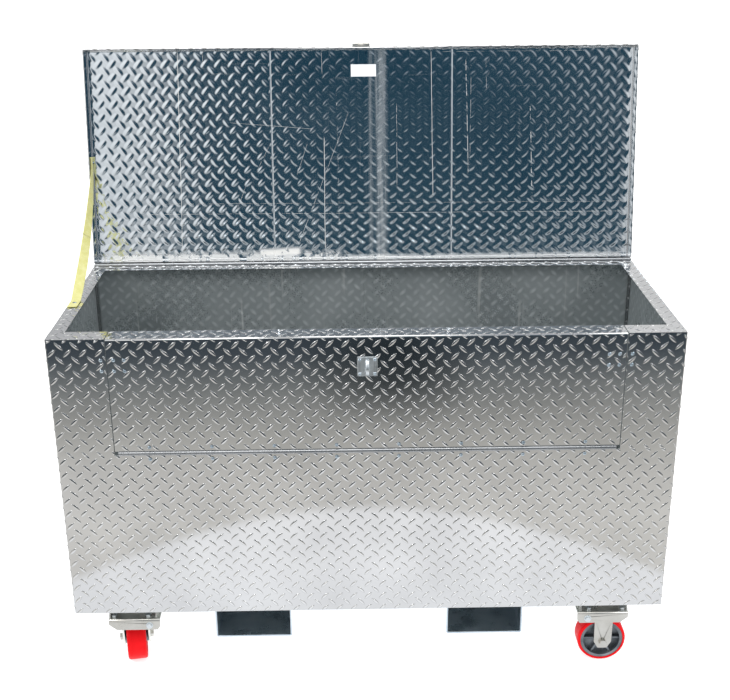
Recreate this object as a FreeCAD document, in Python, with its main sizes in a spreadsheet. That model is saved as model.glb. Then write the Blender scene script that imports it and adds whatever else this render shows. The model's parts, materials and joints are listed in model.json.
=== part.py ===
import FreeCAD, Part
import Sketcher
import math
import os

V = FreeCAD.Vector
Rot = FreeCAD.Rotation
Pl = FreeCAD.Placement

doc = FreeCAD.newDocument("jobsite_box")
sheet = doc.addObject("Spreadsheet::Sheet", "dims")


# A dimension: its number and the expression that reads it from the sheet.
class Q:
    def __init__(self, v, e):
        self.v = float(v)
        self.e = e

    def __add__(self, o):
        o = q(o)
        return Q(self.v + o.v, "(%s + %s)" % (self.e, o.e))

    __radd__ = __add__

    def __sub__(self, o):
        o = q(o)
        return Q(self.v - o.v, "(%s - %s)" % (self.e, o.e))

    def __rsub__(self, o):
        return q(o) - self

    def __mul__(self, o):
        o = q(o)
        return Q(self.v * o.v, "(%s * %s)" % (self.e, o.e))

    __rmul__ = __mul__

    def __truediv__(self, o):
        o = q(o)
        return Q(self.v / o.v, "(%s / %s)" % (self.e, o.e))

    def __neg__(self):
        return Q(-self.v, "(0 - %s)" % self.e)


def q(x):
    if isinstance(x, Q):
        return x
    return Q(x, "(%.6f)" % x if x >= 0 else "(0 - %.6f)" % -x)


rows = [0]


def dim(alias, value):
    rows[0] += 1
    sheet.set("A%d" % rows[0], alias)
    sheet.set("B%d" % rows[0], repr(value))
    sheet.setAlias("B%d" % rows[0], alias)
    return Q(value, "dims." + alias)


# ---------------------------------------------------------------- dimensions
front_y = dim("front_y", -364.985)         # front face of the box
box_w = dim("box_width", 1523.0)
box_d = dim("box_depth", 588.0)
box_h = dim("box_height", 757.0)
rim_z = dim("rim_height", 947.0)          # top of the rim above the floor
T = dim("sheet", 3.5)                     # tread plate over its lugs
ret = dim("corner_return", 20.0)
rad = dim("corner_radius", 4.5)
sfl = dim("side_flange", 39.0)
ffl = dim("front_flange", 55.0)

gate_half = dim("gate_half", 620.0)
gate_gap = dim("gate_gap", 2.0)
hinge_drop = dim("hinge_drop", 300.0)
gk_r = dim("gate_knuckle_radius", 5.0)
gk_len = dim("gate_knuckle_length", 12.7)
gk_n = dim("gate_knuckles", 96)
gp_r = dim("gate_pin_radius", 2.5)
slot_half = dim("gate_hinge_slot", 5.4)
g_leaf = dim("gate_leaf", 30.0)
leaf_t = dim("leaf_plate", 1.5)
run = dim("running_clearance", 0.05)
rivet_pitch = dim("rivet_pitch", 152.4)
rivet_off = dim("rivet_offset", 16.0)
shank = dim("rivet_shank", 3.0)
head_r = dim("rivet_head", 4.6)
head_h = dim("rivet_head_height", 2.0)

lid_gap = dim("lid_gap", 0.5)              # between the rim and the lid's lips
lid_over = dim("lid_overhang", 0.5)
lip = dim("lid_lip", 44.0)
axis_out = dim("lid_axis_out", 4.9)
lk_r = dim("lid_knuckle_radius", 4.5)
lk_len = dim("lid_knuckle_length", 24.9)
lk_n = dim("lid_knuckles", 61)
lp_r = dim("lid_pin_radius", 2.0)
l_leaf = dim("lid_leaf", 34.0)
lid_open = dim("lid_open", 100.0)

pocket_x = dim("pocket_centre", 300.0)
pocket_w = dim("pocket_width", 197.0)
pocket_h = dim("pocket_height", 78.0)
pocket_t = dim("pocket_wall", 4.0)

br_x = dim("bracket_x", 609.5)
cast_x = dim("caster_x", 619.0)
cast_y = dim("caster_inset", 56.5)
br_w = dim("bracket_width", 133.0)
br_d = dim("bracket_depth", 115.0)
br_up = dim("bracket_rise", 21.0)
br_t = dim("bracket_sheet", 4.0)
br_dn = dim("bracket_drop", 31.0)
br_bend = dim("bracket_bend", 6.0)
br_in = dim("bracket_inner_step", 9.0)
tp_x = dim("caster_plate_length", 114.0)
tp_y = dim("caster_plate_width", 102.0)
tp_t = dim("caster_plate_sheet", 5.0)
bolt_x = dim("caster_bolt_x", 44.0)
bolt_y = dim("caster_bolt_y", 38.0)
bolt_r = dim("caster_bolt_radius", 4.75)
wheel_r = dim("wheel_radius", 63.5)
wheel_w = dim("wheel_width", 50.8)
fork_in = dim("fork_inside", 62.0)
fork_t = dim("fork_sheet", 5.0)
axle_r = dim("axle_radius", 6.35)
trail = dim("swivel_trail", 31.0)
turn = dim("swivel_turn", 10.0)
kp_r = dim("kingpin_radius", 8.0)

st_drop = dim("staple_drop", 78.0)
st_half = dim("staple_half", 24.0)
st_t = dim("staple_sheet", 2.5)
st_out = dim("staple_loop_outside", 20.0)
st_in = dim("staple_loop_inside", 14.0)
st_w = dim("staple_loop_width", 8.0)
hk_r = dim("hasp_knuckle_radius", 4.0)
hp_r = dim("hasp_pin_radius", 1.8)
hs_half = dim("hasp_half", 24.0)
hs_t = dim("hasp_sheet", 2.5)
hs_len = dim("hasp_length", 164.5)
hs_out = dim("hasp_axis_out", 9.5)

bb_z = dim("bolt_drop", 68.0)
bb_r = dim("bolt_radius", 5.0)
bb_off = dim("bolt_standoff", 10.0)
strap_w = dim("strap_width", 25.4)
strap_t = dim("strap_sheet", 1.5)
strap_x = dim("strap_lower_x", 745.0)
strap_y = dim("strap_lower_y", 266.0)
strap_s = dim("strap_upper_run", 285.0)
dot_r = dim("rivet_dot_radius", 1.3)
dot_h = dim("rivet_dot_depth", 1.6)

doc.recompute()

# ---------------------------------------------------------------- helpers
nodes = {}
count = [0]


def fresh(name):
    count[0] += 1
    return "%s_%03d" % (name, count[0])


def bind(o, prop, value):
    o.setExpression(prop, q(value).e)


def box(x0, x1, y0, y1, z0, z1):
    o = doc.addObject("Part::Box", fresh("Block"))
    x0, x1, y0, y1, z0, z1 = [q(a) for a in (x0, x1, y0, y1, z0, z1)]
    bind(o, "Length", x1 - x0)
    bind(o, "Width", y1 - y0)
    bind(o, "Height", z1 - z0)
    bind(o, "Placement.Base.x", x0)
    bind(o, "Placement.Base.y", y0)
    bind(o, "Placement.Base.z", z0)
    return o


TURN = {"X": Rot(V(0, 1, 0), 90), "Y": Rot(V(1, 0, 0), -90), "Z": Rot()}


def cyl(axis, x, y, z, r, length):
    o = doc.addObject("Part::Cylinder", fresh("Round"))
    o.Placement = Pl(V(0, 0, 0), TURN[axis])
    bind(o, "Radius", r)
    bind(o, "Height", length)
    bind(o, "Placement.Base.x", x)
    bind(o, "Placement.Base.y", y)
    bind(o, "Placement.Base.z", z)
    return o


def hexagon(axis, x, y, z, r, length):
    o = doc.addObject("Part::Prism", fresh("Hex"))
    o.Polygon = 6
    o.Placement = Pl(V(0, 0, 0), TURN[axis])
    bind(o, "Circumradius", r)
    bind(o, "Height", length)
    bind(o, "Placement.Base.x", x)
    bind(o, "Placement.Base.y", y)
    bind(o, "Placement.Base.z", z)
    return o


def fuse(parts):
    if len(parts) == 1:
        return group(parts)
    o = doc.addObject("Part::MultiFuse", fresh("Joined"))
    o.Shapes = parts
    o.Refine = True
    return o


def group(parts):
    o = doc.addObject("Part::Compound", fresh("Group"))
    o.Links = parts
    return o


def cut(base, tools):
    o = doc.addObject("Part::Cut", fresh("Drilled"))
    o.Base = base
    o.Tool = tools[0] if len(tools) == 1 else group(tools)
    return o


def node(label, o, place=None):
    o.Label = label
    if place is not None:
        o.Placement = place
    nodes[label] = o
    return o


def body():
    return doc.addObject("PartDesign::Body", fresh("Body"))


def sketch(b, plane, offset=None):
    sk = b.newObject("Sketcher::SketchObject", fresh("Sketch"))
    face = [f for f in b.Origin.OriginFeatures if f.Role == plane][0]
    sk.AttachmentSupport = (face, [""])
    sk.MapMode = "FlatFace"
    if offset is not None:
        sk.AttachmentOffset = Pl(V(0, 0, q(offset).v), Rot())
        sk.setExpression("AttachmentOffset.Base.z", q(offset).e)
    return sk


def polygon(sk, pts):
    pts = [(q(a), q(b)) for a, b in pts]
    n = len(pts)
    first = sk.GeometryCount
    for i in range(n):
        a, b = pts[i], pts[(i + 1) % n]
        sk.addGeometry(Part.LineSegment(V(a[0].v, a[1].v, 0), V(b[0].v, b[1].v, 0)), False)
    for i in range(n):
        sk.addConstraint(Sketcher.Constraint("Coincident", first + i, 2, first + (i + 1) % n, 1))
    for i in range(n):
        for kind, value in (("DistanceX", pts[i][0]), ("DistanceY", pts[i][1])):
            k = sk.addConstraint(Sketcher.Constraint(kind, -1, 1, first + i, 1, value.v))
            sk.setExpression("Constraints[%d]" % k, value.e)


def ring(sk, x, y, r):
    x, y, r = q(x), q(y), q(r)
    g = sk.addGeometry(Part.Circle(V(x.v, y.v, 0), V(0, 0, 1), r.v), False)
    for kind, value in (("DistanceX", x), ("DistanceY", y)):
        k = sk.addConstraint(Sketcher.Constraint(kind, -1, 1, g, 3, value.v))
        sk.setExpression("Constraints[%d]" % k, value.e)
    k = sk.addConstraint(Sketcher.Constraint("Radius", g, r.v))
    sk.setExpression("Constraints[%d]" % k, r.e)


def pad(b, sk, length, back=False):
    p = b.newObject("PartDesign::Pad", fresh("Pad"))
    p.Profile = sk
    p.setExpression("Length", q(length).e)
    p.Reversed = back
    return p


def pocket(b, sk, length):
    p = b.newObject("PartDesign::Pocket", fresh("Pocket"))
    p.Profile = sk
    p.Midplane = True
    p.setExpression("Length", q(length).e)
    return p


def revolve(b, sk):
    p = b.newObject("PartDesign::Revolution", fresh("Turned"))
    p.Profile = sk
    p.ReferenceAxis = (sk, ["V_Axis"])
    p.Angle = 360.0
    return p


def round_edges(b, chosen, radius):
    doc.recompute()
    tip = b.Tip
    names = []
    for i, e in enumerate(tip.Shape.Edges):
        if len(e.Vertexes) == 2 and chosen(e.Vertexes[0].Point, e.Vertexes[1].Point):
            names.append("Edge%d" % (i + 1))
    f = b.newObject("PartDesign::Fillet", fresh("Bend"))
    f.Base = (tip, names)
    f.setExpression("Radius", q(radius).e)
    return f


def near(a, b):
    return abs(a - b) < 0.01


def prism(plane, offset, pts, length, back=False):
    b = body()
    sk = sketch(b, plane, offset)
    polygon(sk, pts)
    pad(b, sk, length, back)
    return b


# XZ sketches look along the row's +Y, so their depth runs towards -Y.
def prism_xz(y0, y1, pts):
    return prism("XZ_Plane", -q(y1), pts, q(y1) - q(y0))


def prism_yz(x0, x1, pts):
    return prism("YZ_Plane", x0, pts, q(x1) - q(x0))


def prism_xy(z0, z1, pts):
    return prism("XY_Plane", z0, pts, q(z1) - q(z0))


# ---------------------------------------------------------------- box shell
hw = box_w / 2
bot_z = rim_z - box_h
top_in = rim_z - T
back_y = front_y + box_d
hinge_z = rim_z - hinge_drop


def Y(a):
    return front_y + a


floor = prism_xy(bot_z, bot_z + T, [(-hw + T, Y(T)), (hw - T, Y(T)), (hw - T, back_y - T), (-hw + T, back_y - T)])
round_edges(floor, lambda p, r: near(p.x, r.x) and near(p.y, r.y), rad - T + 0.4)
node("floor_panel", fuse([floor]))


def wrap_wall(y_out, y_in, y_ret):
    """A wall whose two ends turn round the corners into short returns."""
    b = body()
    sk = sketch(b, "XY_Plane", bot_z)
    polygon(sk, [(-hw, y_ret), (-hw, y_out), (hw, y_out), (hw, y_ret), (hw - T, y_ret), (hw - T, y_in), (-hw + T, y_in), (-hw + T, y_ret)])
    pad(b, sk, box_h - T)
    yo, yi, x = q(y_out).v, q(y_in).v, hw.v
    round_edges(b, lambda p, r: near(p.x, r.x) and near(abs(p.x), x) and near(p.y, yo) and near(r.y, yo) and not near(p.z, r.z), rad)
    round_edges(b, lambda p, r: near(p.x, r.x) and near(abs(p.x), x - T.v) and near(p.y, yi) and near(r.y, yi) and not near(p.z, r.z), rad - T)
    return b


def rounded_plate(pts, corner):
    b = prism_xy(top_in, rim_z, pts)
    xs, ys = q(corner[0]).v, q(corner[1]).v
    round_edges(b, lambda p, r: near(abs(p.x), abs(xs)) and near(p.x, r.x) and near(p.y, ys) and near(r.y, ys) and not near(p.z, r.z), rad)
    return b


# rivet positions: (x, z) on the front
hinge_x = [rivet_pitch * (i - 3.5) for i in range(8)]
bolt_zs = [rim_z - bb_z + 14.0, rim_z - bb_z - 14.0]
keeper_x = gate_half + 12.0
house_x = [gate_half - 18.0, gate_half - 43.0]


def drill_y(points, y0, length, r=shank):
    return [cyl("Y", x, y0, z, r, length) for x, z in points]


lower_pts = [(x, hinge_z - rivet_off) for x in hinge_x]
upper_pts = [(x, hinge_z + rivet_off) for x in hinge_x]
keeper_pts = [(sgn * keeper_x, z) for sgn in (-1, 1) for z in bolt_zs]
house_pts = [(sgn * x, z) for sgn in (-1, 1) for x in house_x for z in bolt_zs]
staple_z = rim_z - st_drop
staple_pts = [(sx * (st_half - 6.0), staple_z + sz * (st_half - 6.0)) for sx in (-1, 1) for sz in (-1, 1)]

# front: wall with corner returns, a notch for the gate and a flange over each column
front_wall = wrap_wall(front_y, Y(T), Y(ret))
notch = box(-gate_half, gate_half, Y(-20), Y(ret), hinge_z - slot_half, rim_z + 10)
flange_l = rounded_plate([(-hw, front_y), (-gate_half, front_y), (-gate_half, Y(ffl)), (-hw, Y(ffl))], (-hw, front_y))
flange_r = rounded_plate([(gate_half, front_y), (hw, front_y), (hw, Y(ffl)), (gate_half, Y(ffl))], (hw, front_y))
node("front_panel", cut(fuse([cut(front_wall, [notch]), flange_l, flange_r]), drill_y(lower_pts + keeper_pts, Y(-10), 40)))

# back: wall with corner returns and a flange over its whole width
back_wall = wrap_wall(back_y, back_y - T, back_y - ret)
back_flange = rounded_plate([(-hw, back_y - sfl), (hw, back_y - sfl), (hw, back_y), (-hw, back_y)], (hw, back_y))
node("back_panel", fuse([back_wall, back_flange]))

# sides: wall between the returns, flange between the front and back flanges
strap_cy = Y(strap_y)
side_l = fuse([box(-hw, -hw + T, Y(ret), back_y - ret, bot_z, top_in), box(-hw, -hw + sfl, Y(ffl), back_y - sfl, top_in, rim_z)])
node("left_side_panel", cut(side_l, [cyl("Z", -strap_x, strap_cy, top_in - 5, shank, 20)]))
node("right_side_panel", fuse([box(hw - T, hw, Y(ret), back_y - ret, bot_z, top_in), box(hw - sfl, hw, Y(ffl), back_y - sfl, top_in, rim_z)]))

# ---------------------------------------------------------------- gate
gw = gate_half - gate_gap
gate = fuse([box(-gw, gw, front_y, Y(T), hinge_z + slot_half, top_in), box(-gw, gw, front_y, Y(ffl), top_in, rim_z)])
node("gate_panel", cut(gate, drill_y(upper_pts + house_pts + staple_pts, Y(-10), 40)))


def piano_leaf(x0, seg, n, first, ay, az, r, bore, plate, tab, holes):
    """One leaf of a continuous hinge: plate, tabs, knuckles; sizes come from the sheet."""
    solids = []
    for i in range(first, int(n), 2):
        a = x0 + i * seg + 0.15
        solids.append(Part.makeCylinder(r, seg - 0.3, V(a, ay, az), V(1, 0, 0)))
        solids.append(Part.makeBox(seg - 0.3, tab[1] - tab[0], tab[3] - tab[2], V(a, tab[0], tab[2])))
    s = Part.makeBox(n * seg - 0.3, plate[1] - plate[0], plate[3] - plate[2], V(x0 + 0.15, plate[0], plate[2])).fuse(solids)
    s = s.removeSplitter()
    s = s.cut(Part.makeCylinder(bore, n * seg + 20, V(x0 - 10, ay, az), V(1, 0, 0)))
    for h in holes:
        s = s.cut(h)
    return s.Solids[0] if len(s.Solids) == 1 else s


def feature(label, shape, place=None):
    o = doc.addObject("Part::Feature", fresh("Made"))
    o.Shape = shape
    return node(label, o, place)


gx0 = -gk_len.v * gk_n.v / 2
gy, gz = front_y.v, hinge_z.v
yb0, yb1 = gy + gk_r.v - leaf_t.v, gy + gk_r.v
holes_up = [Part.makeCylinder(shank.v, 40, V(x.v, gy - 10, z.v), V(0, 1, 0)) for x, z in upper_pts]
holes_lo = [Part.makeCylinder(shank.v, 40, V(x.v, gy - 10, z.v), V(0, 1, 0)) for x, z in lower_pts]
feature("gate_hinge_upper_leaf", piano_leaf(gx0, gk_len.v, gk_n.v, 0, gy, gz, gk_r.v, gp_r.v + run.v,
        (yb0, yb1, gz + slot_half.v, gz + g_leaf.v), (yb0, yb1, gz, gz + slot_half.v), holes_up))
feature("gate_hinge_lower_leaf", piano_leaf(gx0, gk_len.v, gk_n.v, 1, gy, gz, gk_r.v, gp_r.v + run.v,
        (yb0, yb1, gz - g_leaf.v, gz - slot_half.v), (yb0, yb1, gz - slot_half.v, gz), holes_lo))
node("gate_hinge_pin", fuse([cyl("X", -gk_len * gk_n / 2, front_y, hinge_z, gp_r, gk_len * gk_n)]))


def turned_rivet(base, axis, grip, profile, dot=False):
    """A rivet turned about its own axis: base is where its front head seats, axis points out of that head.
    dot leaves the small round recess of a pulled rivet in the middle of the head."""
    front_r, front_h, tail_r, tail_h = profile
    k = 0.72
    mid = V(front_r * k, 0, front_h * (1 - k * k * 0.96))
    if dot:
        pts = [V(0, 0, front_h - dot_h.v)]
        inner = V(dot_r.v, 0, front_h * (1 - (dot_r.v / front_r) ** 2 * 0.96))
        floor_edge = V(dot_r.v, 0, front_h - dot_h.v)
        edges = [Part.makeLine(pts[0], floor_edge), Part.makeLine(floor_edge, inner), Part.Arc(inner, mid, V(front_r, 0, 0)).toShape()]
    else:
        pts = [V(0, 0, front_h)]
        edges = [Part.Arc(pts[0], mid, V(front_r, 0, 0)).toShape()]
    edges += [Part.makeLine(V(front_r, 0, 0), V(shank.v, 0, 0)), Part.makeLine(V(shank.v, 0, 0), V(shank.v, 0, -grip))]
    if tail_h == 0:
        edges.append(Part.makeLine(V(shank.v, 0, -grip), V(0, 0, -grip)))
    else:
        edges.append(Part.makeLine(V(shank.v, 0, -grip), V(tail_r, 0, -grip)))
        edges.append(Part.makeLine(V(tail_r, 0, -grip), V(tail_r, 0, -grip - tail_h)))
        edges.append(Part.makeLine(V(tail_r, 0, -grip - tail_h), V(0, 0, -grip - tail_h)))
    edges.append(Part.makeLine(V(0, 0, -grip - tail_h), pts[0]))
    s = Part.Face(Part.Wire(edges)).revolve(V(0, 0, 0), V(0, 0, 1), 360)
    s.Placement = Pl(base, Rot(V(0, 0, 1), V(axis)))
    return s


def rivet(x, z, y0, y1, r=None):
    """A rivet along Y: domed head in front of y0, shank to y1, flat tail behind it."""
    r = r or head_r.v
    return turned_rivet(V(x, y0, z), V(0, -1, 0), y1 - y0, (r, head_h.v, r - 0.8, 1.2), True)


leaf_back = yb1
base_back = gy + T.v + 2.0
feature("front_panel_rivets", Part.makeCompound(
    [rivet(x.v, z.v, gy, leaf_back) for x, z in lower_pts] + [rivet(x.v, z.v, gy, base_back) for x, z in keeper_pts]))
feature("gate_rivets", Part.makeCompound(
    [rivet(x.v, z.v, gy, leaf_back) for x, z in upper_pts] + [rivet(x.v, z.v, gy, base_back) for x, z in house_pts]))

# padlock staple: a drilled plate with an upright loop
plate = box(-st_half, st_half, Y(-st_t), front_y, staple_z - st_half, staple_z + st_half)
loop = cut(cyl("X", -st_w / 2, Y(-st_t), staple_z, st_out, st_w), [
    cyl("X", -st_w, Y(-st_t), staple_z, st_in, st_w * 2),
    box(-st_w, st_w, Y(-st_t), Y(40), staple_z - 40, staple_z + 40)])
node("padlock_staple", cut(fuse([plate, loop]), drill_y(staple_pts, Y(-10), 40)))
feature("staple_rivets", Part.makeCompound([rivet(x.v, z.v, gy - st_t.v, gy + T.v, 4.0) for x, z in staple_pts]))

# barrel bolts behind the gate: housings on the gate, keepers on the columns
bolt_y_c = Y(T + bb_off)
bolt_zc = rim_z - bb_z


def housing(sgn):
    a, b = sgn * (gate_half - 6.0), sgn * (gate_half - 55.0)
    lo, hi = (a, b) if sgn < 0 else (b, a)
    base = box(lo, hi, Y(T), Y(T + 2), bolt_zc - 22, bolt_zc + 22)
    block = box(lo, hi, Y(T + 2), bolt_y_c + 8, bolt_zc - 8, bolt_zc + 8)
    tools = [cyl("X", lo - 5, bolt_y_c, bolt_zc, bb_r + run, 70)]
    return cut(fuse([base, block]), tools + drill_y([(sgn * x, z) for x in house_x for z in bolt_zs], Y(-10), 40))


def keeper(sgn):
    a, b = sgn * (gate_half + 3.0), sgn * (gate_half + 21.0)
    lo, hi = (a, b) if a.v < b.v else (b, a)
    base = box(lo, hi, Y(T), Y(T + 2), bolt_zc - 22, bolt_zc + 22)
    block = box(lo, hi, Y(T + 2), bolt_y_c + 8, bolt_zc - 8.5, bolt_zc + 8.5)
    tools = [cyl("X", lo - 5, bolt_y_c, bolt_zc, bb_r + 0.5, 40)]
    return cut(fuse([base, block]), tools + drill_y([(sgn * keeper_x, z) for z in bolt_zs], Y(-10), 40))


def slide_bolt(sgn):
    tip, end = sgn * (gate_half - 7.0), sgn * (gate_half - 96.0)
    lo = tip if sgn < 0 else end
    rod = cyl("X", lo, bolt_y_c, bolt_zc, bb_r, 89.0)
    knob = cyl("Z", sgn * (gate_half - 90.0), bolt_y_c, bolt_zc - 26, 3.5, 26.0)
    grip = cyl("Z", sgn * (gate_half - 90.0), bolt_y_c, bolt_zc - 34, 5.5, 10.0)
    return fuse([rod, knob, grip])


node("left_bolt_housing", housing(-1))
node("right_bolt_housing", housing(1))
node("left_bolt_keeper", keeper(-1))
node("right_bolt_keeper", keeper(1))
node("left_slide_bolt", slide_bolt(-1))
node("right_slide_bolt", slide_bolt(1))

# ---------------------------------------------------------------- lid (drawn shut, placed open)
axis_y, axis_z = back_y + axis_out, rim_z + lid_gap / 2
lip_bot = rim_z + lid_gap
lid_under = lip_bot + lip
lid_top = lid_under + T
lip_x = hw + lid_over - T
lip_y = Y(T)
open_place = Pl(V(0, 0, 0), Rot(V(1, 0, 0), -lid_open.v), V(0, axis_y.v, axis_z.v))
skin = box(-lip_x - T, lip_x + T, lip_y - T, back_y, lid_under, lid_top)
lip_l = box(-lip_x - T, -lip_x, lip_y - T, back_y, lip_bot, lid_under)
lip_r = box(lip_x, lip_x + T, lip_y - T, back_y, lip_bot, lid_under)
lip_f = box(-lip_x, lip_x, lip_y - T, lip_y, lip_bot, lid_under)
lip_b = box(-lip_x, lip_x, back_y - T, back_y, lip_bot, lid_under)
hasp_pts = [(sx * 12.5, Y(sy)) for sx in (-1, 1) for sy in (14.5, 41.5)]
strap_uy = axis_y - strap_s
strap_uz = lid_under - 4.2
node("lid_panel", cut(fuse([skin, lip_l, lip_r, lip_f, lip_b]),
     [cyl("Z", x, y, lid_under - 10, shank, 40) for x, y in hasp_pts] + [cyl("X", -lip_x - T - 5, strap_uy, strap_uz, shank, 20)]), open_place)

lx0 = -lk_len.v * lk_n.v / 2
ly, lz = axis_y.v, axis_z.v
wall, step = back_y.v, lk_r.v + 0.3
feature("lid_hinge_lower_leaf", piano_leaf(lx0, lk_len.v, lk_n.v, 0, ly, lz, lk_r.v, lp_r.v + run.v,
        (wall, wall + leaf_t.v, lz - l_leaf.v, lz - step), (wall, wall + leaf_t.v, lz - step, lz), []))
feature("lid_hinge_upper_leaf", piano_leaf(lx0, lk_len.v, lk_n.v, 1, ly, lz, lk_r.v, lp_r.v + run.v,
        (wall, wall + leaf_t.v, lz + step, lz + l_leaf.v), (wall, wall + leaf_t.v, lz, lz + step), []), open_place)
node("lid_hinge_pin", fuse([cyl("X", -lk_len * lk_n / 2, axis_y, axis_z, lp_r, lk_len * lk_n)]))

# hasp: leaf on the lid's top, three knuckles, slotted leaf that swings
h_y, h_z = Y(-hs_out), lid_top + hk_r
hb = [box(-hs_half, hs_half, h_y + hk_r + 0.4, Y(54), lid_top, lid_top + hs_t)]
for a, b in ((-hs_half, -hs_half / 3 - 0.2), (hs_half / 3 + 0.2, hs_half)):
    hb.append(cyl("X", a, h_y, h_z, hk_r, b - a))
    hb.append(box(a, b, h_y, h_y + hk_r + 0.4, lid_top, lid_top + hs_t))
node("hasp_base", cut(fuse(hb), [cyl("X", -hs_half - 5, h_y, h_z, hp_r, hs_half * 2 + 10)] +
     [cyl("Z", x, y, lid_under - 10, shank, 40) for x, y in hasp_pts]), open_place)
node("hasp_pin", fuse([cyl("X", -hs_half, h_y, h_z, hp_r, hs_half * 2)]), open_place)
third = hs_half / 3
leaf_y1 = h_y + hk_r
leaf_y0 = leaf_y1 - hs_t
slot_z = staple_z
h_bot = h_z - hs_len
leaf_pts = [(-hs_half, h_z - hk_r - 0.4), (-hs_half, h_bot + 14), (-hs_half + 12, h_bot), (hs_half - 12, h_bot), (hs_half, h_bot + 14), (hs_half, h_z - hk_r - 0.4)]
leaf_parts = [prism_xz(leaf_y0, leaf_y1, leaf_pts),
              cyl("X", -third + 0.2, h_y, h_z, hk_r, third * 2 - 0.4),
              box(-third + 0.2, third - 0.2, leaf_y0, leaf_y1, h_z - hk_r - 0.4, h_z)]
slot = box(-st_w / 2 - 3, st_w / 2 + 3, leaf_y0 - 10, leaf_y1 + 10, slot_z - st_out - 5, slot_z + st_out + 5)
lid_turn = Rot(V(1, 0, 0), -lid_open.v)
hinge_at = V(0, axis_y.v, axis_z.v)
hasp_at = V(0, h_y.v, h_z.v)
hang_shift = lid_turn.multVec(hasp_at - hinge_at) + hinge_at - hasp_at
node("hasp_leaf", cut(fuse(leaf_parts), [slot, cyl("X", -30, h_y, h_z, hp_r + run, 60)]), Pl(hang_shift, Rot()))


def rivet_z(x, y, z0, z1, r):
    return turned_rivet(V(x, y, z1), V(0, 0, 1), z1 - z0, (r, 1.8, r, 1.5))


feature("hasp_rivets", Part.makeCompound([rivet_z(x, y.v, lid_under.v, lid_top.v + hs_t.v, 4.2) for x, y in [(q(a).v, b) for a, b in hasp_pts]]), open_place)
node("blank_label", fuse([box(-29, 41, Y(45.5), Y(78.5), lid_under - 0.3, lid_under)]), open_place)

# ---------------------------------------------------------------- lid strap
sx, sy, sz = -strap_x.v, strap_cy.v, rim_z.v
low_hole = Part.makeCylinder(shank.v, 20, V(sx, sy, sz - 5), V(0, 0, 1))
low_tab = Part.makeBox(strap_w.v, 34.0, strap_t.v, V(sx - strap_w.v / 2, sy - 14, sz)).cut(low_hole)
ux = -lip_x.v
up_tab = Part.makeBox(strap_t.v, 34.0, strap_w.v, V(ux + 0.4, strap_uy.v - 17, strap_uz.v + 3.8 - strap_w.v))
up_tab = up_tab.cut(Part.makeCylinder(shank.v + 0.4, 20, V(ux - 10, strap_uy.v, strap_uz.v), V(1, 0, 0)))
up_tab.Placement = open_place.multiply(up_tab.Placement)
b_pt = open_place.multVec(V(ux + 0.4 + strap_t.v / 2, strap_uy.v, strap_uz.v + 3.8 - strap_w.v / 2))
a_pt = V(sx, sy, sz)
along = (b_pt - a_pt)
along.normalize()


def cross_section(p, wide, thick):
    w, t = V(wide) * (strap_w.v / 2), V(thick) * (strap_t.v / 2)
    return Part.makePolygon([p - w - t, p + w - t, p + w + t, p - w + t, p - w - t])


wide0 = V(1, 0, 0)
thick0 = along.cross(wide0)
thick0.normalize()
thick1 = V(1, 0, 0)
wide1 = along.cross(thick1)
wide1.normalize()
thick1 = wide1.cross(along)
thick1.normalize()
reach = (b_pt - a_pt).Length
steps = 9
wires = []
for k in range(steps):
    u = k / (steps - 1.0)
    at = a_pt + along * (26.0 + (reach - 52.0) * u) + V(0, 0, 3.0 * (1 - u))
    ang = 0.5 * math.pi * u
    wide = wide0 * math.cos(ang) - thick0 * math.sin(ang)
    thick = wide0 * math.sin(ang) + thick0 * math.cos(ang)
    wires.append(cross_section(at, wide, thick))
run_solid = Part.makeLoft(wires, True, True)
feature("lid_strap", Part.makeCompound([low_tab, run_solid, up_tab]))
feature("strap_lower_rivet", rivet_z(sx, sy, sz - T.v, sz + strap_t.v, 6.0))
up_rivet = turned_rivet(V(ux + strap_t.v + 0.8, strap_uy.v, strap_uz.v), V(1, 0, 0), T.v + strap_t.v + 0.8, (3.9, 1.8, 0, 0))
up_rivet.Placement = open_place.multiply(up_rivet.Placement)
feature("strap_upper_rivet", up_rivet)

# ---------------------------------------------------------------- fork pockets
for side, sgn in (("left", -1), ("right", 1)):
    c = sgn * pocket_x
    pw = pocket_w / 2
    pz = bot_z - pocket_h
    b = prism_xz(Y(1), back_y - 1, [(c - pw, bot_z), (c - pw, pz), (c + pw, pz), (c + pw, bot_z), (c + pw - pocket_t, bot_z),
                                    (c + pw - pocket_t, pz + pocket_t), (c - pw + pocket_t, pz + pocket_t), (c - pw + pocket_t, bot_z)])
    zz = pz.v
    round_edges(b, lambda p, r: near(p.z, zz) and near(r.z, zz) and not near(p.y, r.y), 5.0)
    node("%s_fork_pocket" % side, fuse([b]))

# ---------------------------------------------------------------- casters
pan_z = bot_z - br_up                     # top of the bracket's sheet
plate_z = pan_z - br_t                    # top of the caster's plate
fork_z = plate_z - tp_t                   # underside of the caster's plate
axle_z = wheel_r
bracket_bolts, plate_bolts, kingpins, rigid_axles = [], [], [], []

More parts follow.
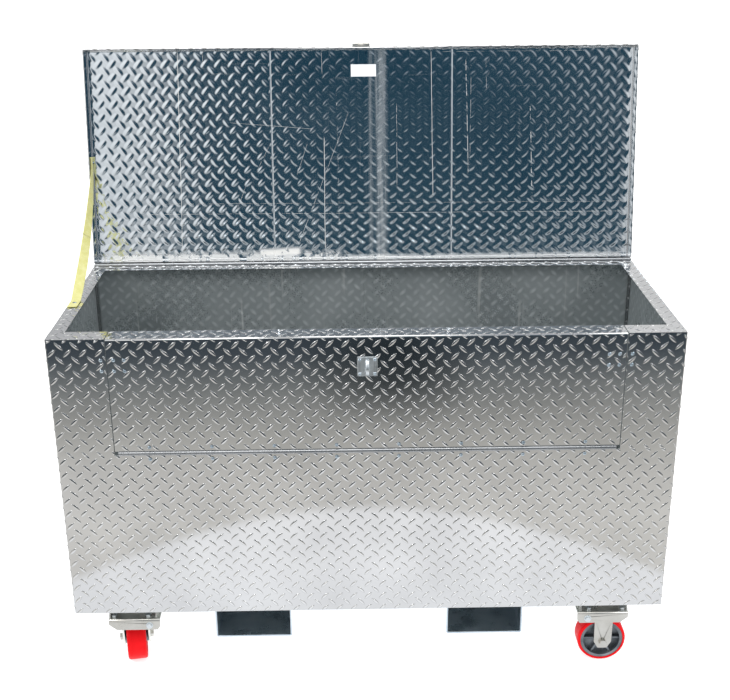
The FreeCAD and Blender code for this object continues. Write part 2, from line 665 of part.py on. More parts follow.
for end, yc, ysgn in (("front", Y(cast_y), -1), ("back", back_y - cast_y, 1)):
    for side, xsgn in (("left", -1), ("right", 1)):
        name = "%s_%s" % (end, side)
        xc = xsgn * cast_x
        bc = xsgn * br_x
        y_out = front_y if ysgn < 0 else back_y
        half = br_w / 2
        xa, xb = bc - half, bc + half
        out_x, in_x = (xa, xb) if xsgn < 0 else (xb, xa)

        def deep(d):
            return y_out - ysgn * d

        low_z = pan_z - br_dn
        bent = prism_yz(xa, xb, [(deep(0), low_z), (deep(0), pan_z), (deep(br_d), pan_z), (deep(br_d), plate_z), (deep(br_t), plate_z), (deep(br_t), low_z)])
        yo, yi, zo, zi = q(deep(0)).v, q(deep(br_t)).v, pan_z.v, plate_z.v
        round_edges(bent, lambda p, r: near(p.y, yo) and near(r.y, yo) and near(p.z, zo) and near(r.z, zo), br_bend)
        round_edges(bent, lambda p, r: near(p.y, yi) and near(r.y, yi) and near(p.z, zi) and near(r.z, zi), br_bend - br_t)
        ca, cb = (deep(0) - 1, deep(br_t) + 1) if ysgn < 0 else (deep(br_t) - 1, deep(0) + 1)
        corners = [prism_xz(ca, cb, [(out_x + xsgn * 1, low_z - 1), (out_x - xsgn * 21, low_z - 1), (out_x + xsgn * 1, low_z + 17)]),
                   prism_xz(ca, cb, [(in_x - xsgn * 1, low_z - 1), (in_x + xsgn * 8, low_z - 1), (in_x - xsgn * 1, low_z + 12)])]
        cheeks = []
        for x in (out_x, in_x + xsgn * br_in):
            x0, x1 = (x, x + br_t) if (x is out_x) == (xsgn < 0) else (x - br_t, x)
            cheeks.append(prism_yz(x0, x1, [(deep(9), pan_z), (deep(25), bot_z), (deep(br_d), bot_z), (deep(br_d), pan_z)]))
        holes = [(xc + a * bolt_x, yc + b * bolt_y) for a in (-1, 1) for b in (-1, 1)]
        fx = bc - xsgn * 39.0
        fz = pan_z - 17.0
        fa, fb = (y_out, y_out + br_t) if ysgn < 0 else (y_out - br_t, y_out)
        bracket = fuse([bent] + cheeks)
        node("%s_caster_bracket" % name, cut(bracket, [cyl("Z", x, y, fork_z - 10, bolt_r, 40) for x, y in holes] +
                                             [cyl("Y", fx, fa - 5, fz, bolt_r, 20)] + corners))
        for x, y in holes:
            plate_bolts.append(fuse([cyl("Z", x, y, fork_z, bolt_r, br_t + tp_t), hexagon("Z", x, y, pan_z, 8.2, 6.0), hexagon("Z", x, y, fork_z - 8, 8.2, 8.0)]))
        head_y0 = fa - 6.7 if ysgn < 0 else fb + 1.2
        rim_y0 = fa - 1.2 if ysgn < 0 else fb
        nut_y0 = fb if ysgn < 0 else fa - 6.0
        bracket_bolts.append(fuse([cyl("Y", fx, fa, fz, bolt_r, br_t), cyl("Y", fx, rim_y0, fz, 9.3, 1.2), hexagon("Y", fx, head_y0, fz, 7.6, 5.5),
                                   hexagon("Y", fx, nut_y0, fz, 7.2, 6.0)]))
        top = box(xc - tp_x / 2, xc + tp_x / 2, yc - tp_y / 2, yc + tp_y / 2, fork_z, plate_z)
        top_holes = [cyl("Z", x, y, fork_z - 10, bolt_r, 40) for x, y in holes]
        inside = fork_in / 2
        if side == "right":
            legs = []
            for lo, hi in ((yc - inside - fork_t, yc - inside), (yc + inside, yc + inside + fork_t)):
                legs.append(prism_xz(lo, hi, [(xc - 30, fork_z), (xc - 24, fork_z - 26), (xc - 23, axle_z + 1), (xc - 12, axle_z - 18), (xc + 12, axle_z - 18),
                                              (xc + 23, axle_z + 1), (xc + 24, fork_z - 26), (xc + 30, fork_z)]))
            node("%s_rigid_fork" % name, cut(fuse([top] + legs), top_holes + [cyl("Y", xc, yc - 60, axle_z, axle_r, 120)]))
            rigid_axles.append(fuse([cyl("Y", xc, yc - inside - fork_t - 2, axle_z, axle_r, fork_in + fork_t * 2 + 4),
                                     hexagon("Y", xc, yc - inside - fork_t - 8.5, axle_z, 10.5, 8.5),
                                     hexagon("Y", xc, yc + inside + fork_t, axle_z, 10.5, 9.0)]))
            w_place = Pl(V(xc.v, yc.v, axle_z.v), Rot(V(1, 0, 0), -90))
        else:
            race = cyl("Z", xc, yc, fork_z - 8, 37.0, 8.0)
            node("%s_swivel_plate" % name, cut(fuse([top, race]), top_holes + [cyl("Z", xc, yc, fork_z - 20, kp_r, 60)]))
            kingpins.append(fuse([cyl("Z", xc, yc, fork_z - 31, kp_r, 31 + tp_t), hexagon("Z", xc, yc, fork_z - 31, 13.0, 8.7)]))
            # the fork is drawn with the wheel straight behind the kingpin and then turned
            back = trail
            cheek = [(-24.0, fork_z - 16), (33.0, fork_z - 16), (33.0, fork_z - 22), (back + 20, axle_z + 8), (back + 10, axle_z - 20),
                     (back - 10, axle_z - 20), (back - 22, axle_z + 2), (-24.0, fork_z - 22)]
            legs = [prism_yz(-inside - fork_t, -inside, cheek), prism_yz(inside, inside + fork_t, cheek)]
            crown = box(-inside, inside, -24.0, 33.0, fork_z - 22, fork_z - 16)
            lower = cyl("Z", 0, 0, fork_z - 16, 34.0, 7.0)
            spin = turn.v if end == "front" else -24.0
            f_place = Pl(V(xc.v, yc.v, 0), Rot(V(0, 0, 1), spin))
            node("%s_swivel_fork" % name, cut(fuse(legs + [crown, lower]), [cyl("Z", 0, 0, fork_z - 40, kp_r + run, 60),
                 cyl("X", -60, back, axle_z, axle_r, 120)]), f_place)
            axle = fuse([cyl("X", -inside - fork_t - 2, back, axle_z, axle_r, fork_in + fork_t * 2 + 4),
                         hexagon("X", -inside - fork_t - 8.5, back, axle_z, 10.5, 8.5), hexagon("X", inside + fork_t, back, axle_z, 10.5, 9.0)])
            node("%s_axle" % name, axle, f_place)
            w_place = f_place.multiply(Pl(V(0, back.v, axle_z.v), Rot(V(0, 1, 0), 90)))
        # wheel, turned about its own axis
        core = body()
        sk = sketch(core, "XZ_Plane")
        rim_i, rim_o, hub, bore = wheel_r - 14.0, wheel_r - 7.5, 19.0, axle_r + run
        hubw = fork_in / 2 - 0.6
        polygon(sk, [(bore, -hubw), (hub, -hubw), (hub, -5.0), (rim_i, -5.0), (rim_i - 1.5, -23.0), (rim_o, -23.0), (rim_o, 23.0), (rim_i - 1.5, 23.0),
                     (rim_i, 5.0), (hub, 5.0), (hub, hubw), (bore, hubw)])
        revolve(core, sk)
        ribs = []
        for k in range(6):
            rib = doc.addObject("Part::Box", fresh("Rib"))
            rib.Length, rib.Width, rib.Height = wheel_r.v - 14.0 - 17.0 + 1.0, 5.0, 32.0
            turned = Rot(V(0, 0, 1), 60.0 * k)
            rib.Placement = Pl(turned.multVec(V(17.0, -2.5, -16.0)), turned)
            ribs.append(rib)
        node("%s_wheel_core" % name, fuse([core] + ribs), w_place)
        tread = body()
        sk = sketch(tread, "XZ_Plane")
        wh = wheel_w / 2
        polygon(sk, [(rim_o, -wh + 1.5), (wheel_r - 5, -wh), (wheel_r - 1.6, -wh + 1.6), (wheel_r, -wh + 6), (wheel_r, wh - 6), (wheel_r - 1.6, wh - 1.6),
                     (wheel_r - 5, wh), (rim_o, wh - 1.5)])
        revolve(tread, sk)
        node("%s_wheel_tread" % name, fuse([tread]), w_place)

node("bracket_face_bolts", group(bracket_bolts))
node("caster_plate_bolts", group(plate_bolts))
node("swivel_kingpins", group(kingpins))
node("rigid_caster_axles", group(rigid_axles))

# ---------------------------------------------------------------- check and write
doc.recompute()
bad = [o.Name for o in doc.Objects if "Invalid" in o.State or "Error" in o.State]
if bad:
    raise RuntimeError("failed objects: %s" % bad)
low = V(1e9, 1e9, 1e9)
high = V(-1e9, -1e9, -1e9)
for label, o in nodes.items():
    s = o.Shape
    if s.isNull() or not s.isValid() or not s.Solids or s.Volume <= 0:
        raise RuntimeError("bad shape: %s" % label)
    bb = s.BoundBox
    low = V(min(low.x, bb.XMin), min(low.y, bb.YMin), min(low.z, bb.ZMin))
    high = V(max(high.x, bb.XMax), max(high.y, bb.YMax), max(high.z, bb.ZMax))
os.makedirs("parts", exist_ok=True)
for label, o in nodes.items():
    whole = o.Shape.Solids[0] if len(o.Shape.Solids) == 1 else o.Shape
    whole.exportStep("parts/%s.step" % label)
    print("%-28s solids %2d  volume %.1f cm3" % (label, len(o.Shape.Solids), o.Shape.Volume / 1000.0))
print("nodes", len(nodes))
print("box", low, high)
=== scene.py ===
import json
import math

import bmesh
import bpy
import numpy as np
from mathutils import Matrix, Vector, geometry


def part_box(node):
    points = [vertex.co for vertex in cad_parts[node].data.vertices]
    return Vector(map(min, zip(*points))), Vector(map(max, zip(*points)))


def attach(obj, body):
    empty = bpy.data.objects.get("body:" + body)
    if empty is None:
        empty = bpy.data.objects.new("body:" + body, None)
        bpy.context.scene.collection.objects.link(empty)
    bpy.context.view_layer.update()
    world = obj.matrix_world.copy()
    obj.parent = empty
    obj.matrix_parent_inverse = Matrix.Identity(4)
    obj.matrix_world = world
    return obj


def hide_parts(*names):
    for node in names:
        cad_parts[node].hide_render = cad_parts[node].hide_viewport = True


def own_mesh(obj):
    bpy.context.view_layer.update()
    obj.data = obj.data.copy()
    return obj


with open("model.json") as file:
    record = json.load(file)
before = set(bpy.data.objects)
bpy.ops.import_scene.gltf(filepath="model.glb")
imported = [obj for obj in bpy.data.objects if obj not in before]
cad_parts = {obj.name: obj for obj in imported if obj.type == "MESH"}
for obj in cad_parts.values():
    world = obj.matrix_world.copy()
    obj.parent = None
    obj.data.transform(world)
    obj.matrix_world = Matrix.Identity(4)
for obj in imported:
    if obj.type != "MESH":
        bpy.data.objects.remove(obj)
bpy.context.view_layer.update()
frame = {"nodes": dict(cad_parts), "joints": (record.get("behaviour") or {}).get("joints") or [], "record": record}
nodes = frame["nodes"]
joints = {j["name"]: j for j in frame["joints"]}
scene = bpy.context.scene
MM = 0.001

# ------------------------------------------------------------------ measures
LUG = 1.3 * MM                      # height of the raised lugs; their tops are the outside of the sheet
T = 3.5 * MM
FY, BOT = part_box("front_panel")[0].y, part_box("front_panel")[0].z
HW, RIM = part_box("front_panel")[1].x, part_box("front_panel")[1].z
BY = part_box("back_panel")[1].y
GX, G_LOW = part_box("gate_panel")[1].x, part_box("gate_panel")[0].z
HINGE_Z = joints["gate_hinge"]["pos_m"][2]
NOTCH_Z = 2 * HINGE_Z - G_LOW
NOTCH_X = GX + 2 * MM
FLANGE_F = 55 * MM
FLANGE = 39 * MM
R_OUT = 4.5 * MM
AX = Vector(joints["lid_hinge"]["pos_m"])
OPEN = joints["lid_hinge"]["range_deg"][1]
to_open = Matrix.Translation(AX) @ Matrix.Rotation(math.radians(-OPEN), 4, "X") @ Matrix.Translation(-AX)
to_shut = to_open.inverted()
shut = np.array([to_shut @ v.co for v in nodes["lid_panel"].data.vertices])
LX, LF, LR = shut[:, 0].max(), shut[:, 1].min(), shut[:, 1].max()
L_TOP, L_LOW = shut[:, 2].max(), shut[:, 2].min()
L_UNDER = L_TOP - T


# ------------------------------------------------------------------ materials
def new_material(name):
    m = bpy.data.materials.new(name)
    m.use_nodes = True
    nt = m.node_tree
    bsdf = next(n for n in nt.nodes if n.type == "BSDF_PRINCIPLED")
    return m, nt, bsdf


def add(nt, kind, **values):
    n = nt.nodes.new(kind)
    for k, v in values.items():
        if k in n.inputs.keys():
            n.inputs[k].default_value = v
        else:
            setattr(n, k, v)
    return n


def coords(nt, scale):
    tc = add(nt, "ShaderNodeTexCoord")
    mp = add(nt, "ShaderNodeMapping")
    mp.inputs["Scale"].default_value = scale
    nt.links.new(tc.outputs["Object"], mp.inputs["Vector"])
    return mp.outputs["Vector"]


def ramp(nt, source, stops, interpolation="LINEAR"):
    r = add(nt, "ShaderNodeValToRGB")
    r.color_ramp.interpolation = interpolation
    els = r.color_ramp.elements
    while len(els) < len(stops):
        els.new(0.5)
    for e, (p, c) in zip(els, stops):
        e.position = p
        e.color = (*c, 1.0)
    nt.links.new(source, r.inputs["Fac"])
    return r.outputs["Color"]


def noise(nt, scale, vec_scale=(1, 1, 1), detail=4.0, rough=0.55):
    n = add(nt, "ShaderNodeTexNoise", Scale=scale, Detail=detail, Roughness=rough)
    nt.links.new(coords(nt, vec_scale), n.inputs["Vector"])
    return n.outputs["Fac"]


def calc(nt, op, *args, clamp=False):
    n = add(nt, "ShaderNodeMath", operation=op)
    n.use_clamp = clamp
    for i, x in enumerate(args):
        if isinstance(x, (int, float)):
            n.inputs[i].default_value = x
        else:
            nt.links.new(x, n.inputs[i])
    return n.outputs[0]


def mix_color(nt, fac, a, b, blend="MIX"):
    n = add(nt, "ShaderNodeMix", data_type="RGBA", blend_type=blend)
    if isinstance(fac, (int, float)):
        n.inputs[0].default_value = fac
    else:
        nt.links.new(fac, n.inputs[0])
    for sock, x in ((n.inputs[6], a), (n.inputs[7], b)):
        if isinstance(x, tuple):
            sock.default_value = (*x, 1.0)
        else:
            nt.links.new(x, sock)
    return n.outputs[2]


def span(nt, value, a, b, c, d):
    r = add(nt, "ShaderNodeMapRange")
    for k, v in (("From Min", a), ("From Max", b), ("To Min", c), ("To Max", d)):
        r.inputs[k].default_value = v
    nt.links.new(value, r.inputs["Value"])
    return r.outputs["Result"]


def bump(nt, bsdf, height, distance, strength=1.0):
    b = add(nt, "ShaderNodeBump", Strength=strength, Distance=distance)
    nt.links.new(height, b.inputs["Height"])
    nt.links.new(b.outputs["Normal"], bsdf.inputs["Normal"])


def metal(name, dark, light, rough, grain=1.0, fine_depth=0.00002, foot_painted_shade=None):
    """Bare metal. foot is a painted shade: a darker colour painted on the lower slopes of a raised lug, whose height
    the mesh keeps in 'flat'.
    """
    m, nt, bsdf = new_material(name)
    bsdf.inputs["Metallic"].default_value = 1.0
    big = noise(nt, 5.0 * grain, detail=5.0)
    fine = noise(nt, 220.0 * grain, detail=2.0)
    base = ramp(nt, big, [(0.3, dark), (0.7, light)])
    # painted shade: each lug's lower slopes are coloured darker, standing in for the shade around its base
    if foot_painted_shade:
        at = add(nt, "ShaderNodeAttribute", attribute_name="flat")
        sep = add(nt, "ShaderNodeSeparateXYZ")
        nt.links.new(at.outputs["Vector"], sep.inputs[0])
        base = mix_color(nt, span(nt, sep.outputs[2], 0.1 * LUG, 0.9 * LUG, 0.0, 1.0), foot_painted_shade, base)
    nt.links.new(base, bsdf.inputs["Base Color"])
    both = calc(nt, "ADD", calc(nt, "MULTIPLY", big, 0.7), calc(nt, "MULTIPLY", fine, 0.3))
    nt.links.new(span(nt, both, 0.3, 0.7, rough[0], rough[1]), bsdf.inputs["Roughness"])
    bump(nt, bsdf, fine, fine_depth, 0.4)
    return m


def satin(name, dark, light, rough, scale=30.0, depth=0.0001, metallic=0.0, shine=0.5):
    m, nt, bsdf = new_material(name)
    bsdf.inputs["Metallic"].default_value = metallic
    bsdf.inputs["Specular IOR Level"].default_value = shine
    big = noise(nt, scale, detail=5.0)
    fine = noise(nt, scale * 14, detail=3.0)
    nt.links.new(ramp(nt, big, [(0.3, dark), (0.7, light)]), bsdf.inputs["Base Color"])
    nt.links.new(span(nt, big, 0.0, 1.0, rough[0], rough[1]), bsdf.inputs["Roughness"])
    bump(nt, bsdf, fine, depth, 0.6)
    return m


def marked_metal(name, dark, light, rough, lines, bands, scuff, metallic=1.0, level=True, rub_and_highlight=0.0):
    """Bright sheet with handling marks. Lines and bands lie in the sheet's own flat measure, kept in the mesh as
    'flat'.
    rubbed is how far the tops of the swellings, whose height is kept there too, are painted paler than the rest: a
    painted highlight, partly also rubbing wear."""
    m, nt, bsdf = new_material(name)
    big = noise(nt, 4.0, detail=5.0)
    fine = noise(nt, 220.0, detail=2.0)
    at = add(nt, "ShaderNodeAttribute", attribute_name="flat")
    sep = add(nt, "ShaderNodeSeparateXYZ")
    nt.links.new(at.outputs["Vector"], sep.inputs[0])
    u, v = sep.outputs[0], sep.outputs[1]
    wob = calc(nt, "MULTIPLY", calc(nt, "SUBTRACT", noise(nt, 9.0, detail=2.0), 0.5), 0.010)
    broken = noise(nt, 60.0, detail=2.0)
    total = None
    for (u1, v1), (u2, v2), wide, strength, gaps in lines:
        length = math.hypot(u2 - u1, v2 - v1)
        du, dv = (u2 - u1) / length, (v2 - v1) / length
        au, av = calc(nt, "SUBTRACT", u, u1 * MM), calc(nt, "SUBTRACT", v, v1 * MM)
        along = calc(nt, "ADD", calc(nt, "MULTIPLY", au, du), calc(nt, "MULTIPLY", av, dv))
        off = calc(nt, "ADD", calc(nt, "SUBTRACT", calc(nt, "MULTIPLY", au, dv), calc(nt, "MULTIPLY", av, du)), calc(nt, "MULTIPLY", wob, 0.25))
        near_line = span(nt, calc(nt, "ABSOLUTE", off), wide * MM * 0.3, wide * MM, strength, 0.0)
        inside = calc(nt, "MULTIPLY", span(nt, along, 0.0, 0.01, 0.0, 1.0), span(nt, along, length * MM - 0.01, length * MM, 1.0, 0.0))
        one = calc(nt, "MULTIPLY", near_line, inside)
        if gaps:
            one = calc(nt, "MULTIPLY", one, span(nt, broken, gaps, gaps + 0.12, 0.0, 1.0))
        total = one if total is None else calc(nt, "MAXIMUM", total, one)
    hair = noise(nt, 70.0, (1.0, 0.04, 0.04), detail=2.0, rough=0.4)
    hair2 = noise(nt, 90.0, (0.05, 0.6, 1.0), detail=2.0, rough=0.4)
    upright = span(nt, hair, 0.66, 0.74, 0.0, 1.0)
    hairs = calc(nt, "MULTIPLY", calc(nt, "MAXIMUM", upright, span(nt, hair2, 0.68, 0.76, 0.0, 1.0)) if level else upright, scuff)
    total = hairs if total is None else calc(nt, "MAXIMUM", total, hairs)
    base = ramp(nt, big, [(0.3, dark), (0.7, light)])
    # painted highlight: the tops of the swellings are painted paler in patches, standing in for the light they catch,
    # partly also rubbing wear
    if rub_and_highlight:
        paler_patches = calc(nt, "MULTIPLY", span(nt, sep.outputs[2], 0.00025, 0.0008, 0.0, rub_and_highlight), span(nt, noise(nt, 26.0, detail=3.0), 0.35, 0.65, 0.25, 1.0))
        base = mix_color(nt, paler_patches, base, (0.90, 0.94, 0.95))
    haze = 0.0
    for u0, wide, strength in bands:
        near_band = span(nt, calc(nt, "ABSOLUTE", calc(nt, "SUBTRACT", u, u0 * MM)), wide * MM * 0.25, wide * MM, strength, 0.0)
        streak = calc(nt, "MULTIPLY", near_band, span(nt, noise(nt, 150.0, (1.0, 0.02, 0.02), detail=2.0), 0.35, 0.65, 0.3, 1.0))
        haze = streak if isinstance(haze, float) else calc(nt, "MAXIMUM", haze, streak)
    rough_plain = span(nt, calc(nt, "ADD", calc(nt, "MULTIPLY", big, 0.7), calc(nt, "MULTIPLY", fine, 0.3)), 0.3, 0.7, rough[0], rough[1])
    marks = calc(nt, "ADD", total, haze if not isinstance(haze, float) else 0.0, clamp=True)
    nt.links.new(calc(nt, "ADD", rough_plain, calc(nt, "MULTIPLY", marks, 0.35), clamp=True), bsdf.inputs["Roughness"])
    nt.links.new(mix_color(nt, calc(nt, "MULTIPLY", marks, 0.9), base, (0.95, 0.93, 0.89)), bsdf.inputs["Base Color"])
    nt.links.new(calc(nt, "SUBTRACT", metallic, calc(nt, "MULTIPLY", marks, 0.75 * metallic)), bsdf.inputs["Metallic"])
    bump(nt, bsdf, fine, 0.00002, 0.4)
    return m


LID_LINES = [
    ((-508, 590), (-516, 36), 0.9, 0.72, 0.0), ((-106, 353), (-108, 31), 1.0, 0.72, 0.0), ((-36, 419), (-183, 49), 0.7, 0.51, 0.36),
    ((-152, 336), (-186, 240), 0.7, 0.47, 0.0), ((-256, 337), (-300, 252), 0.7, 0.42, 0.36), ((-566, 232), (-621, 141), 0.7, 0.38, 0.0),
    ((-568, 167), (745, 162), 0.7, 0.42, 0.40), ((-621, 138), (745, 134), 0.7, 0.51, 0.36), ((-372, 392), (-132, 372), 0.7, 0.42, 0.0),
    ((-439, 585), (-439, 536), 0.7, 0.51, 0.0), ((-110, 587), (-109, 519), 0.8, 0.51, 0.0), ((-329, 218), (-363, 134), 0.7, 0.42, 0.0),
    ((194, 587), (200, 178), 0.9, 0.72, 0.0), ((291, 562), (300, 241), 1.0, 0.68, 0.40), ((306, 557), (304, 251), 0.7, 0.51, 0.44),
    ((473, 432), (482, 159), 1.1, 0.68, 0.47), ((98, 442), (98, 210), 0.7, 0.51, 0.40), ((-70, 472), (-66, 37), 0.8, 0.47, 0.48),
    ((216, 580), (622, 579), 0.7, 0.47, 0.42), ((347, 562), (349, 472), 0.7, 0.42, 0.42),
    ((-745, 14), (-60, 14), 22.0, 0.62, 0.34), ((-300, 24), (-175, 29), 16.0, 0.90, 0.26), ((-80, 10), (745, 10), 11.0, 0.45, 0.30),
]
LID_BANDS = [(53.0, 22.0, 0.30), (24.5, 9.0, 0.16)]

tread_mat = metal("tread_plate", (0.73, 0.73, 0.73), (0.85, 0.85, 0.85), (0.04, 0.10))
# the lugs carry a painted shade on their lower slopes
lug_mat = metal("tread_plate_lugs", (0.84, 0.84, 0.84), (0.95, 0.95, 0.95), (0.05, 0.11), foot_painted_shade=(0.55, 0.55, 0.54))
lid_in_mat = marked_metal("tread_plate_lid_inside", (0.70, 0.75, 0.79), (0.82, 0.86, 0.89), (0.06, 0.12), LID_LINES, LID_BANDS, 0.05)
# the inside sheet carries a painted highlight on the tops of its swellings
inner_mat = marked_metal("tread_plate_inside", (0.30, 0.34, 0.35), (0.44, 0.48, 0.49), (0.22, 0.36), [], [], 0.26, metallic=0.5, level=False, rub_and_highlight=0.42)
hinge_mat = metal("hinge_metal", (0.36, 0.37, 0.38), (0.52, 0.53, 0.54), (0.22, 0.36))
rivet_mat = metal("rivet_metal", (0.46, 0.54, 0.60), (0.66, 0.74, 0.80), (0.05, 0.12), grain=4.0)
bright_mat = metal("bright_zinc", (0.74, 0.79, 0.82), (0.90, 0.94, 0.96), (0.30, 0.46), grain=6.0)
pocket_mat = metal("pocket_metal", (0.58, 0.68, 0.75), (0.80, 0.88, 0.94), (0.20, 0.38), grain=3.0)
zinc_mat = metal("zinc_steel", (0.60, 0.58, 0.53), (0.78, 0.76, 0.71), (0.24, 0.38), grain=3.0)
core_mat = satin("cast_core", (0.10, 0.115, 0.13), (0.24, 0.26, 0.28), (0.35, 0.55), metallic=0.7)
red_mat = satin("red_polyurethane", (0.62, 0.003, 0.006), (0.74, 0.005, 0.009), (0.40, 0.54), depth=0.00006, shine=0.10)
label_mat = satin("blank_label", (0.80, 0.83, 0.88), (0.90, 0.92, 0.95), (0.45, 0.6), depth=0.00004)


def webbing():
    m, nt, bsdf = new_material("webbing")
    at = add(nt, "ShaderNodeAttribute", attribute_name="weave")
    sep = add(nt, "ShaderNodeSeparateXYZ")
    nt.links.new(at.outputs["Vector"], sep.inputs[0])
    across = calc(nt, "SINE", calc(nt, "MULTIPLY", sep.outputs[0], 2 * math.pi / 0.0021))
    along = calc(nt, "SINE", calc(nt, "MULTIPLY", sep.outputs[1], 2 * math.pi / 0.0026))
    lift = calc(nt, "ADD", calc(nt, "MULTIPLY", calc(nt, "MULTIPLY", across, along), 0.5), 0.5)
    base = mix_color(nt, lift, (0.50, 0.485, 0.15), (0.64, 0.62, 0.25))
    # paler worn patches on the webbing
    paler_patches = mix_color(nt, span(nt, noise(nt, 60.0), 0.42, 0.75, 0.0, 0.7), base, (0.68, 0.665, 0.36))
    nt.links.new(paler_patches, bsdf.inputs["Base Color"])
    bsdf.inputs["Roughness"].default_value = 0.75
    bsdf.inputs["Sheen Weight"].default_value = 0.2
    bump(nt, bsdf, lift, 0.0004, 0.7)
    return m


strap_mat = webbing()
SLOT_MAT = {"tread_plate": tread_mat, "hinge_aluminium": hinge_mat, "rivet_aluminium": rivet_mat, "pocket_plate": pocket_mat,
            "zinc_steel": zinc_mat, "cast_core": core_mat, "red_polyurethane": red_mat, "webbing": strap_mat, "paper": label_mat}
for sp in frame["record"]["subparts"]:
    o = nodes[sp["node"]]
    o.data.materials.clear()
    o.data.materials.append(bright_mat if sp["node"] == "padlock_staple" or sp["node"].endswith("bolts") else SLOT_MAT[sp["material_slot"]])


# ------------------------------------------------------------------ mesh helpers
def place(name, mesh, body, mat):
    o = bpy.data.objects.new(name, mesh)
    scene.collection.objects.link(o)
    mesh.materials.clear()
    mesh.materials.append(mat)
    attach(o, body)
    return o


def near(a, b, tol=0.06 * MM):
    return abs(a - b) < tol


def split_faces(bm):
    """Cut every face of more than four corners into triangles that fill exactly its outline."""
    for f in [f for f in bm.faces if len(f.verts) > 4]:
        n = f.normal.copy()
        e = n.orthogonal().normalized()
        g = n.cross(e)
        vs = list(f.verts)
        o = vs[0].co.copy()
        flat = [Vector(((v.co - o).dot(e) * 1000, (v.co - o).dot(g) * 1000)) for v in vs]
        out = geometry.delaunay_2d_cdt(flat, [], [list(range(len(vs)))], 1, 1e-5)
        if any(len(src) == 0 for src in out[3]):
            continue
        tris = [[vs[out[3][i][0]] for i in t] for t in out[2]]
        smooth, mat = f.smooth, f.material_index
        bm.faces.remove(f)
        for t in tris:
            if len(set(t)) == 3:
                made = bm.faces.new(t)
                made.smooth = smooth
                made.material_index = mat
                made.normal_update()
                if made.normal.dot(n) < 0:
                    made.normal_flip()


def sheet_from(node, name, body, mat, mover, bends, shut_frame=False, radius=2.0 * MM, inner=None):
    """The panel's plain sheet: the CAD panel with its outside drawn in by the height of the lugs and its bends rounded.
    inner(face) tells the faces that look into the box, which are duller."""
    bm = bmesh.new()
    bm.from_mesh(nodes[node].data)
    if shut_frame:
        bmesh.ops.transform(bm, matrix=to_shut, verts=bm.verts)
    bmesh.ops.remove_doubles(bm, verts=bm.verts, dist=1e-6)
    for v in bm.verts:
        v.co = mover(v.co)
    bmesh.ops.dissolve_limit(bm, angle_limit=math.radians(0.4), verts=bm.verts, edges=bm.edges)
    chosen = [e for e in bm.edges if len(e.link_faces) == 2 and bends(e.verts[0].co, e.verts[1].co)]
    bm.normal_update()
    for f in bm.faces:
        f.smooth = False
        f.material_index = 1 if inner and inner(f) else 0
    if chosen:
        made = bmesh.ops.bevel(bm, geom=chosen, offset=radius, segments=4, profile=0.5, affect="EDGES", clamp_overlap=True)
        for f in made["faces"]:
            f.smooth = True
    bm.normal_update()
    split_faces(bm)
    if shut_frame:
        bmesh.ops.transform(bm, matrix=to_open, verts=bm.verts)
    me = bpy.data.meshes.new(name)
    bm.to_mesh(me)
    bm.free()
    o = place(name, me, body, mat)
    if inner:
        me.materials.append(inner_mat)
    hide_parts(node)
    return o


PITCH_U, PITCH_V = 37.25 * MM, 35.80 * MM
LONG, WIDE = 14.0 * MM, 4.4 * MM
N_OUT = 12


def lens(n=N_OUT):
    a = np.arange(n) * 2 * math.pi / n
    return np.stack([np.cos(a), np.sin(a) * np.abs(np.sin(a)) ** 0.45], 1)


def clip_rect(poly, u0, u1, v0, v1):
    for axis, limit, keep in ((0, u0, 1), (0, u1, -1), (1, v0, 1), (1, v1, -1)):
        out = []
        for i in range(len(poly)):
            a, b = poly[i], poly[(i + 1) % len(poly)]
            ia, ib = (a[axis] - limit) * keep >= 0, (b[axis] - limit) * keep >= 0
            if ia:
                out.append(a)
            if ia != ib:
                s = (limit - a[axis]) / (b[axis] - a[axis])
                out.append([a[0] + (b[0] - a[0]) * s, a[1] + (b[1] - a[1]) * s])
        poly = out
        if len(poly) < 3:
            return []
    return poly


RINGS = ((1.0, 1.0, -0.3), (0.955, 0.84, 0.42), (0.90, 0.72, 0.53), (0.34, 0.08, 1.0))


